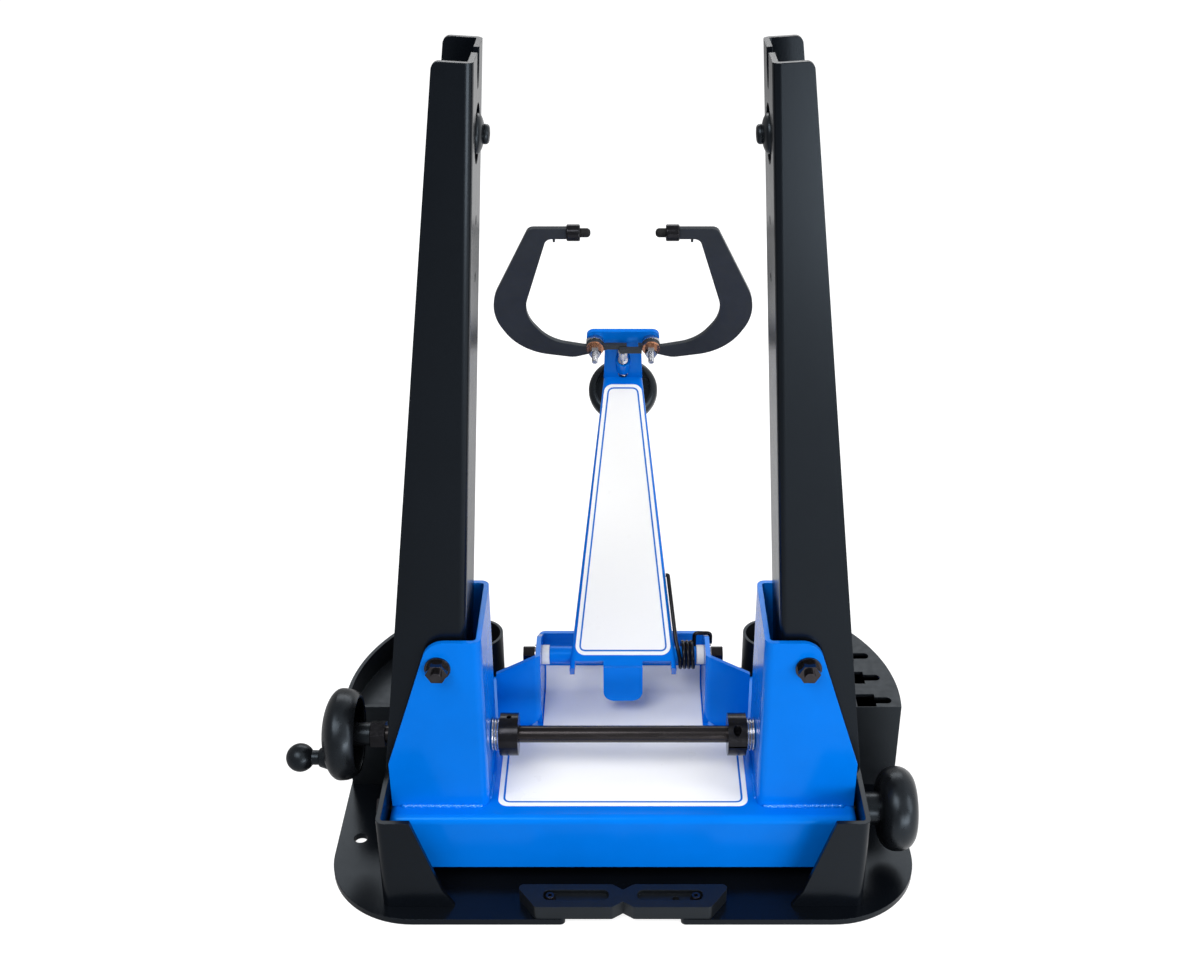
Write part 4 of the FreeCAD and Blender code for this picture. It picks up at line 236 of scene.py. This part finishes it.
LOOKS = {
    BLUE: ("frame_channel", "left_cheek", "right_cheek", "ear_bracket", "arm", "screw_guides"),
    BLACK: ("base_plate", "left_side_wall", "right_side_wall", "left_upright", "right_upright"),
    PLASTIC: ("left_tray", "right_tray", "left_cup", "right_cup", "front_block"),
    KNOB: ("handwheel", "crank_handle", "tilt_knob", "arm_knob", "caliper_knob"),
    RUBBER: ("rest_bumpers", "left_caliper_tip", "right_caliper_tip"),
    OXIDE: ("right_tilt_stud", "left_dome_fixing", "right_dome_fixing", "left_dome",
            "right_dome", "left_collar", "right_collar", "collar_screws", "jam_nut", "crank_pin",
            "torsion_spring", "left_caliper_sleeve", "right_caliper_sleeve"),
    CHROME: ("front_block_screws", "frame_bolts", "frame_nuts", "pivot_washers",
             "arm_screw_nut"),
    CALIPER: ("left_caliper", "right_caliper"),
    ROD: ("spindle_rod",),
    ZINC: ("thrust_washers", "plain_washers", "caliper_studs", "stud_nuts", "caliper_spacers",
           "arm_screw_pad", "arm_screw", "caliper_screw_pad", "caliper_screw",
           "left_traveller_nut", "right_traveller_nut"),
    COPPER: ("copper_washers",),
    NYLON: ("nylon_washers",),
    PAPER: ("top_sticker", "arm_sticker"),
}


def dress(thing, material):
    thing.data.materials.clear()
    thing.data.materials.append(material)


for look, names in LOOKS.items():
    for name in names:
        dress(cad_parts[name], look)

# ---------------------------------------------------------------- places and shapes


class Axes:
    """A tilted place on the stand's middle plane, with its own y and z directions."""

    def __init__(self, origin, lean):
        self.origin = origin
        self.along = Vector((0, math.cos(lean), math.sin(lean)))
        self.up = Vector((0, -math.sin(lean), math.cos(lean)))

    def at(self, x, y, z):
        return self.origin + x * X + y * self.along + z * self.up


ARM_LONG, ARM_FACE = 198, -8
ARM = Axes(ARM_PIVOT, -ARM_LEAN)
HEAD = Axes(ARM.at(0, ARM_FACE, ARM_LONG), HEAD_TILT)


def piece(name, shape, material, body, smooth=True):
    """A new mesh with its finish; it rides on the body, if one is given."""
    points, faces = shape
    mesh = bpy.data.meshes.new(name)
    mesh.from_pydata([tuple(p * MM) for p in points], [], faces)
    mesh.validate()
    mesh.update()
    mesh.polygons.foreach_set("use_smooth", [smooth] * len(mesh.polygons))
    thing = bpy.data.objects.new(name, mesh)
    scene.collection.objects.link(thing)
    dress(thing, material)
    if body:
        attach(thing, body)
    return thing


def joined(shapes):
    """Several closed shapes as one."""
    points, faces = [], []
    for own_points, own_faces in shapes:
        base = len(points)
        points += own_points
        faces += [tuple(base + v for v in face) for face in own_faces]
    return points, faces


def strung(rings, closed=False):
    """Faces between rings of equal size, with end caps unless the line is closed."""
    size, count = len(rings[0]), len(rings)
    faces = []
    for k in range(count if closed else count - 1):
        a, b = k * size, (k + 1) % count * size
        for j in range(size):
            n = (j + 1) % size
            faces.append((a + j, a + n, b + n, b + j))
    if not closed:
        faces.append(tuple(range(size))[::-1])
        faces.append(tuple(range((count - 1) * size, count * size)))
    return [p for ring in rings for p in ring], faces


def eased(corners, radius, steps=6, closed=False):
    """A line through its corners, each rounded off."""
    most = 0.48  # share of a side that one corner may take
    count = len(corners)
    line = []
    for k, corner in enumerate(corners):
        if not closed and k in (0, count - 1):
            line.append(corner.copy())
            continue
        before, after = corners[k - 1] - corner, corners[(k + 1) % count] - corner
        reach = min(radius, before.length * most, after.length * most)
        start = corner + before.normalized() * reach
        end = corner + after.normalized() * reach
        for step in range(steps + 1):
            t = step / steps
            line.append(start * (1 - t) ** 2 + corner * (2 * t * (1 - t)) + end * t ** 2)
    return line


def swept(line, radius, sides=12, swell=None):
    """A round wire along a line; swell gives each point's share of the radius."""
    rings = []
    side = None
    for k, point in enumerate(line):
        ahead = line[min(k + 1, len(line) - 1)] - line[max(k - 1, 0)]
        ahead.normalize()
        if side is None:
            side = ahead.orthogonal().normalized()
        side = (side - ahead * side.dot(ahead)).normalized()
        other = ahead.cross(side)
        size = radius * (swell(k) if swell else 1.0)
        turns = [2 * math.pi * j / sides for j in range(sides)]
        rings.append([point + (side * math.cos(a) + other * math.sin(a)) * size for a in turns])
    return strung(rings)


def groove(distance, turn, cut):
    """How deep a thread lies at a distance along the bar and a share of a turn round it."""
    floor, flank = 1.25, 2.2
    start, end, pitch, depth, hand = cut
    if not start <= distance <= end:
        return 0.0
    phase = ((distance - start) / pitch - hand * turn) % 1.0
    share = min(1.0, max(0.0, floor - abs(2 * phase - 1) * flank))
    fade = min(1.0, (distance - start) / pitch, (end - distance) / pitch)
    return depth * share * max(fade, 0.0)


def turned(stops, origin, direction, cuts=(), sides=28):
    """A turned bar; stops are (distance, radius).

    cuts are threads: (start, end, pitch, depth, hand).
    """
    steps_per_pitch = 7
    side = direction.orthogonal().normalized()
    other = direction.cross(side)
    marks = []
    for (d0, r0), (d1, r1) in zip(stops, stops[1:]):
        parts = 1
        if any(start < (d0 + d1) / 2 < end for start, end, *_ in cuts):
            pitch = cuts[0][2]
            parts = max(1, round((d1 - d0) / (pitch / steps_per_pitch)))
        marks += [(d0 + (d1 - d0) * k / parts, r0 + (r1 - r0) * k / parts)
                  for k in range(parts)]
    marks.append(stops[-1])
    rings = []
    for distance, radius in marks:
        ring = []
        for j in range(sides):
            size = radius - max((groove(distance, j / sides, cut) for cut in cuts), default=0.0)
            angle = 2 * math.pi * j / sides
            out = side * math.cos(angle) + other * math.sin(angle)
            ring.append(origin + direction * distance + out * size)
        rings.append(ring)
    return strung(rings)


# ---------------------------------------------------------------- spring


def torsion_spring():
    """Coils round the pivot tube, one leg up the arm's edge, one hooked over the ear."""
    wire = 2.6
    coil_radius, coil_pitch, coils_from = 8.2, 2.75, 36.4
    first, last = 1.5 * math.pi - ARM_LEAN, 8.5 * math.pi
    steps, leg_ends = 150, 4
    edge_x, edge_slope, edge_rise, clear = 34, 0.10063, 6.7, 0.2
    leg_long, leg_start, leg_ease = 52, 7, 2.2
    ear_outside, ear_over, hook_down, hook_ease = 56.9, 103.23, 7.8, 2.4

    def coil(turn):
        along = coils_from + coil_pitch * (turn - first) / (2 * math.pi)
        return Vector((along, ARM_PIVOT.y + coil_radius * math.sin(turn),
                       ARM_PIVOT.z - coil_radius * math.cos(turn)))

    up_arm = Vector((-edge_slope, math.sin(ARM_LEAN), math.cos(ARM_LEAN))).normalized()
    top = coil(first)
    root = Vector((edge_x - edge_slope * edge_rise + wire / 2 + clear, top.y, top.z))
    far = root + up_arm * leg_long
    leg = eased([far - X * (wire * 0.6), far, root + up_arm * leg_start], leg_ease)
    coils = [coil(first + (last - first) * k / steps) for k in range(leg_ends, steps + 1)]
    end = coils[-1]
    hook = eased([end, Vector((end.x, end.y, ear_over)), Vector((ear_outside, end.y, ear_over)),
                  Vector((ear_outside, end.y, ear_over - hook_down))], hook_ease)
    shape = swept(leg + coils + hook[1:], wire / 2)
    spring = piece("smooth_torsion_spring", shape, OXIDE, None)
    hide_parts("torsion_spring")
    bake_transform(spring)


torsion_spring()

# ---------------------------------------------------------------- threads and turned parts


def threads():
    """The spindle and the two screws, with the threads that their solids leave off."""
    radius, left_cut, right_cut = 5.2, (-140, -84), (84, 129.2)
    stops = [(-180.6, 4.8), (-180, radius), *((d, radius) for d in left_cut + right_cut),
             (130, 4.4)]
    cuts = ((*left_cut, 3.0, 1.0, LEFT_HANDED), (*right_cut, 3.0, 1.0, RIGHT_HANDED))
    shape = turned(stops, SPINDLE, X, cuts)
    spindle = piece("threaded_spindle", shape, ROD, "spindle")
    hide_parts("spindle_rod")

    radius, cut = 4, (7, 55)
    stops = [(6.4, 3.4), *((d, radius) for d in cut), (70.6, radius), (71.2, 3.6)]
    shape = turned(stops, ARM_SCREW, Y, ((*cut, 2.0, 0.8, RIGHT_HANDED),))
    screw = piece("threaded_arm_screw", shape, ZINC, "arm_screw")
    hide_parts("arm_screw")

    radius, cut, seat = 3.5, (-30.5, 16), 202.5
    stops = [(-31.1, 3.1), *((d, radius) for d in cut), (24.6, radius), (25, 3.1)]
    shape = turned(stops, ARM.at(0, 0, seat), ARM.along, ((*cut, 1.5, 0.6, RIGHT_HANDED),))
    screw = piece("threaded_caliper_screw", shape, ZINC, "caliper_screw")
    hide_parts("caliper_screw")


def studs():
    """Threaded caliper studs with chamfered hexagon heads behind the head plate."""
    apart, height = 18.9, 34.1
    shank = [(-20.5, 1.5), (-20, 2.0), (-9, 2.0), (3, 2.0)]
    cut = (-20, -9, 0.7, 0.32, RIGHT_HANDED)
    flats = ((3, 7.0), (6.6, 7.0), (7, 6.4))
    shapes = []
    for x in (-apart, apart):
        heads = []
        for depth, flat in flats:
            across = flat / math.sqrt(3)
            turns = [math.radians(60 * k) for k in range(6)]
            heads.append([HEAD.at(x + across * math.cos(a), depth, height + across * math.sin(a))
                          for a in turns])
        shapes += [turned(shank, HEAD.at(x, 0, height), HEAD.along, (cut,), 20), strung(heads)]
    both = piece("threaded_caliper_studs", joined(shapes), ZINC, "arm", smooth=False)
    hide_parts("caliper_studs")


def domes():
    """Rounded caps on the uprights' webs, each with a button screw's head in its middle."""
    lean = math.radians(3.53)
    foot, web, axle = Vector((105.8, -55.5, 155)), 15.5, 300.8
    radius, height = 10, 3.6
    cap = [(-3, 9.9), (-0.1, radius)]
    cap += [(height * math.sin(a), radius * math.cos(a)) for a in (0.12 * k for k in range(1, 10))]
    head = [(2.9, 4.4), (3.3, 4.9), (4.0, 5.0), (5.0, 4.85), (5.7, 4.3), (6.1, 3.4), (6.2, 2.2),
            (5.5, 2.0)]
    for side, sign in SIDES:
        inward = Vector((-sign * math.cos(lean), 0, -math.sin(lean)))
        rise = Vector((-sign * math.sin(lean), 0, math.cos(lean)))
        face = Vector((sign * foot.x, foot.y, foot.z)) + inward * web + rise * axle
        shape = joined([turned(stops, face, inward, sides=40) for stops in (cap, head)])
        smooth = piece(f"{side}_rounded_dome", shape, KNOB, f"{side}_upright")
        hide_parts(f"{side}_dome")


def washers():
    """Three thrust washers a side, their rims rounded so that each one shows."""
    cheek, pitch, count = 75.1, 1.8, 3
    rim = ((0.1, 9.3), (0.45, 10), (1.3, 10), (1.6, 9.3), (1.75, 8.5))
    stops = [(0, 8.6)] + [(pitch * k + d, r) for k in range(count) for d, r in rim]
    shapes = [turned(stops, SPINDLE + X * (sign * cheek), X * sign, sides=44)
              for _, sign in SIDES]
    rings = piece("rounded_thrust_washers", joined(shapes), ZINC, "stand")
    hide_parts("thrust_washers")


def handwheel():
    """Domed wheel, hollow towards the upright, with hub, ribs and the crank's boss.

    Its profiles are (distance to the left of the stand's middle, radius).
    """
    face, radius, bulge = 183.6, 28, 11.5
    dome = [(face, 0.5)]
    dome += [(face - bulge * (1 - math.cos(a)), radius * math.sin(a))
             for a in (0.08 * k for k in range(1, 20))]
    rim = [(171.2, radius), (168, 27.7), (165, 26.8), (162.6, 25.4), (161.2, 23.6),
           (161.6, 22.2), (163, 22), (166, 23), (170, 24.2), (174, 23.4), (178, 19),
           (180.4, 12), (180.6, 9), (180.6, 7)]
    hub = [(161, 7), (154.4, 7), (154, 6.6), (154, 5.3), (180.8, 5.3)]
    shapes = [turned((dome + rim + hub)[::-1], SPINDLE, -X, sides=48)]

    crank = SPINDLE + Vector((0, -4, -15))
    boss = [(176, 7.4), (181, 7.4), (186.1, 5.8), (186.6, 5.3), (186.6, 2.1), (176.2, 2.1)]
    shapes.append(turned(boss, crank, -X))

    ribs, half_rib, rib_edge = 6, 1, 169
    for number in range(ribs):
        angle = 2 * math.pi * (number + 0.5) / ribs
        out = Vector((0, -math.sin(angle), math.cos(angle)))
        flat = X.cross(out)
        rings = []
        for reach, depth in ((6.5, 181.6), (20, 179), (25, 173)):
            corners = ((-half_rib, rib_edge), (half_rib, rib_edge), (half_rib, depth),
                       (-half_rib, depth))
            rings.append([SPINDLE + out * reach + flat * w - X * d for w, d in corners])
        shapes.append(strung(rings))
    wheel = piece("domed_handwheel", joined(shapes), KNOB, "spindle")
    wheel.data.set_sharp_from_angle(angle=math.radians(40))
    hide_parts("handwheel")


threads()
studs()
domes()
washers()
handwheel()

# ---------------------------------------------------------------- lines on the stickers


def ribbon(line, width, normal, closed):
    """A flat line printed on a face, just proud of it."""
    low, high = 0.02, 0.07
    count = len(line)
    rings = []
    for k, point in enumerate(line):
        after = line[(k + 1) % count] if closed else line[min(k + 1, count - 1)]
        before = line[k - 1] if closed else line[max(k - 1, 0)]
        across = (after - before).cross(normal).normalized() * width / 2
        rings.append([point + across + normal * low, point + across + normal * high,
                      point - across + normal * high, point - across + normal * low])
    return strung(rings, closed)


def stripes():
    """One blue line inside the edge of each sticker."""
    inset, width, corner = 3.5, 1.25, 4.2
    half, front, back, top = 75.5 - inset, -88.5 + inset, -21, 53.3
    corners = [Vector((-half, back, top)), Vector((-half, front, top)),
               Vector((half, front, top)), Vector((half, back, top))]
    shape = ribbon(eased(corners, corner), width, Z, closed=False)
    piece("frame_sticker_line", shape, STRIPE, "stand", smooth=False)

    inset, width, corner, face = 2.9, 1.1, 4.0, -8.3
    foot, crown, foot_half, crown_half = -2.7, 192, 31.2, 12.6
    taper = (foot_half - crown_half) / (crown - foot)
    low, high = foot + inset, crown - inset
    low_half, high_half = [foot_half - inset * math.hypot(1, taper) - taper * (h - foot)
                           for h in (low, high)]
    corners = [ARM.at(x, face, h) for x, h in ((-low_half, low), (low_half, low),
                                               (high_half, high), (-high_half, high))]
    shape = ribbon(eased(corners, corner, closed=True), width, -ARM.along, closed=True)
    piece("arm_sticker_line", shape, STRIPE, "arm", smooth=False)


stripes()

# ---------------------------------------------------------------- weld beads


def bead(name, start, end, radius):
    """A rippled fillet of weld along a joint, blue like the frame."""
    step, taper_steps = 0.7, 2.5
    coarse, fine = (0.16, 1.9), (0.1, 0.83)  # height of each ripple and its turn a step
    start, end = Vector(start), Vector(end)
    steps = max(8, round((end - start).length / step))
    line = [start.lerp(end, k / steps) for k in range(steps + 1)]

    def swell(k):
        taper = min(1.0, (k + 0.4) / taper_steps, (steps - k + 0.4) / taper_steps)
        return taper * (1 + coarse[0] * math.sin(k * coarse[1])
                        + fine[0] * math.sin(k * fine[1] + 1))

    piece(name, swept(line, radius, sides=10, swell=swell), WELD, "stand")


def welds():
    """Where each cheek stands on the frame: along its front, its rear and its inner side."""
    for side, sign in SIDES:
        for edge, y, radius in (("front", -88.7, 1.5), ("rear", -22.3, 1.4)):
            start, end = (sign * 84, y, 53.2), (sign * 134, y, 53.2)
            bead(f"{side}_cheek_{edge}_weld", start, end, radius)
        start, end = (sign * 80.3, -82, 53.1), (sign * 80.3, -58, 53.1)
        bead(f"{side}_cheek_inner_weld", start, end, 1.1)


welds()

# ---------------------------------------------------------------- stage and light


def seen_in_gloss(wiring, path):
    """1 for rays that a shiny or clear surface sends on."""
    return wiring.maths("ADD", (path, "Is Glossy Ray"), (path, "Is Transmission Ray"))


def make_floor():
    """Pale floor; the camera and reflections see it white, brighter towards the right."""
    half, level = 6.0, -0.0006
    white = 0.86
    corners = [(-half, -half, level), (half, -half, level), (half, half, level),
               (-half, half, level)]
    mesh = bpy.data.meshes.new("floor")
    mesh.from_pydata(corners, [], [(0, 1, 2, 3)])
    floor = bpy.data.objects.new("floor", mesh)
    scene.collection.objects.link(floor)

    surface = Surface("studio_floor")
    shader = surface.shader
    pale = ((0.3, (0.32, 0.32, 0.33)), (0.7, (0.34, 0.34, 0.34)))
    surface.link(surface.ramp(surface.noise(3.0), "Fac", pale), "Color", shader, "Base Color")
    shader.inputs["Roughness"].default_value = 0.9
    shader.inputs["Specular IOR Level"].default_value = 0.0

    path = surface.add("ShaderNodeLightPath")
    seen = surface.add("ShaderNodeMath", {1: white}, operation="MULTIPLY")
    surface.link(path, "Is Camera Ray", seen, 0)
    parts = surface.add("ShaderNodeSeparateXYZ")
    surface.link(surface.place, "Object", parts, "Vector")
    across = surface.add("ShaderNodeMapRange", {"From Min": -0.25, "From Max": 0.3,
                                                "To Min": 0.0, "To Max": 0.8})
    surface.link(parts, "X", across, "Value")
    mirrored = seen_in_gloss(surface, path)
    gleam = surface.maths("MULTIPLY", (mirrored, "Value"), (across, "Result"))
    total = surface.maths("ADD", (seen, "Value"), (gleam, "Value"))
    glow = surface.add("ShaderNodeEmission", {"Color": (1, 1, 1, 1)})
    surface.link(total, "Value", glow, "Strength")
    both = surface.add("ShaderNodeAddShader")
    surface.link(shader, "BSDF", both, 0)
    surface.link(glow, "Emission", both, 1)
    surface.link(both, "Shader", surface.output, "Surface")
    dress(floor, surface.material)


def make_world():
    """White where the camera looks; lit like a studio, brighter overhead than low down."""
    world = bpy.data.worlds.new("studio")
    scene.world = world
    world.use_nodes = True
    sky = Wiring(world.node_tree)
    place = sky.add("ShaderNodeTexCoord")
    parts = sky.add("ShaderNodeSeparateXYZ")
    sky.link(place, "Generated", parts, "Vector")

    def backdrop(axis, strength, stops):
        """Light whose level changes along an axis; the stops are (position, level)."""
        node = sky.add("ShaderNodeBackground", {"Strength": strength})
        shades = [(position, (level, level, level)) for position, level in stops]
        sky.link(sky.ramp(parts, axis, shades), "Color", node, "Color")
        return node

    lit = backdrop("Z", 0.78, ((0.0, 0.22), (0.75, 0.95)))
    gleam = backdrop("X", 1.0, ((0.0, 0.35), (0.5, 1.0)))
    white = sky.add("ShaderNodeBackground", {"Color": (1, 1, 1, 1), "Strength": 1.0})

    path = sky.add("ShaderNodeLightPath")
    with_gleam = sky.add("ShaderNodeMixShader")
    sky.link(seen_in_gloss(sky, path), "Value", with_gleam, 0)
    sky.link(lit, "Background", with_gleam, 1)
    sky.link(gleam, "Background", with_gleam, 2)
    with_white = sky.add("ShaderNodeMixShader")
    sky.link(path, "Is Camera Ray", with_white, 0)
    sky.link(with_gleam, "Shader", with_white, 1)
    sky.link(white, "Background", with_white, 2)
    sky.link(with_white, "Shader", sky.add("ShaderNodeOutputWorld"), "Surface")


def lamp(name, size, power, place, aim=(0, 0, 200)):
    """A soft rectangle of light in watts; its own size is in metres."""
    data = bpy.data.lights.new(name, "AREA")
    data.shape = "RECTANGLE"
    data.size, data.size_y = size
    data.energy = power
    light = bpy.data.objects.new(name, data)
    scene.collection.objects.link(light)
    light.visible_camera = False
    light.location = Vector(place) * MM
    light.rotation_mode = "QUATERNION"
    light.rotation_quaternion = (Vector(aim) * MM - light.location).to_track_quat("-Z", "Y")


make_floor()
make_world()
lamp("key", (1.1, 0.8), 16, (-600, -900, 1500))
lamp("fill", (0.7, 1.1), 9, (1400, -700, 900))
lamp("back", (1.4, 0.5), 7, (0, 1300, 1100))
lamp("low", (0.7, 0.35), 6, (560, -1000, 150), aim=(60, -60, 60))
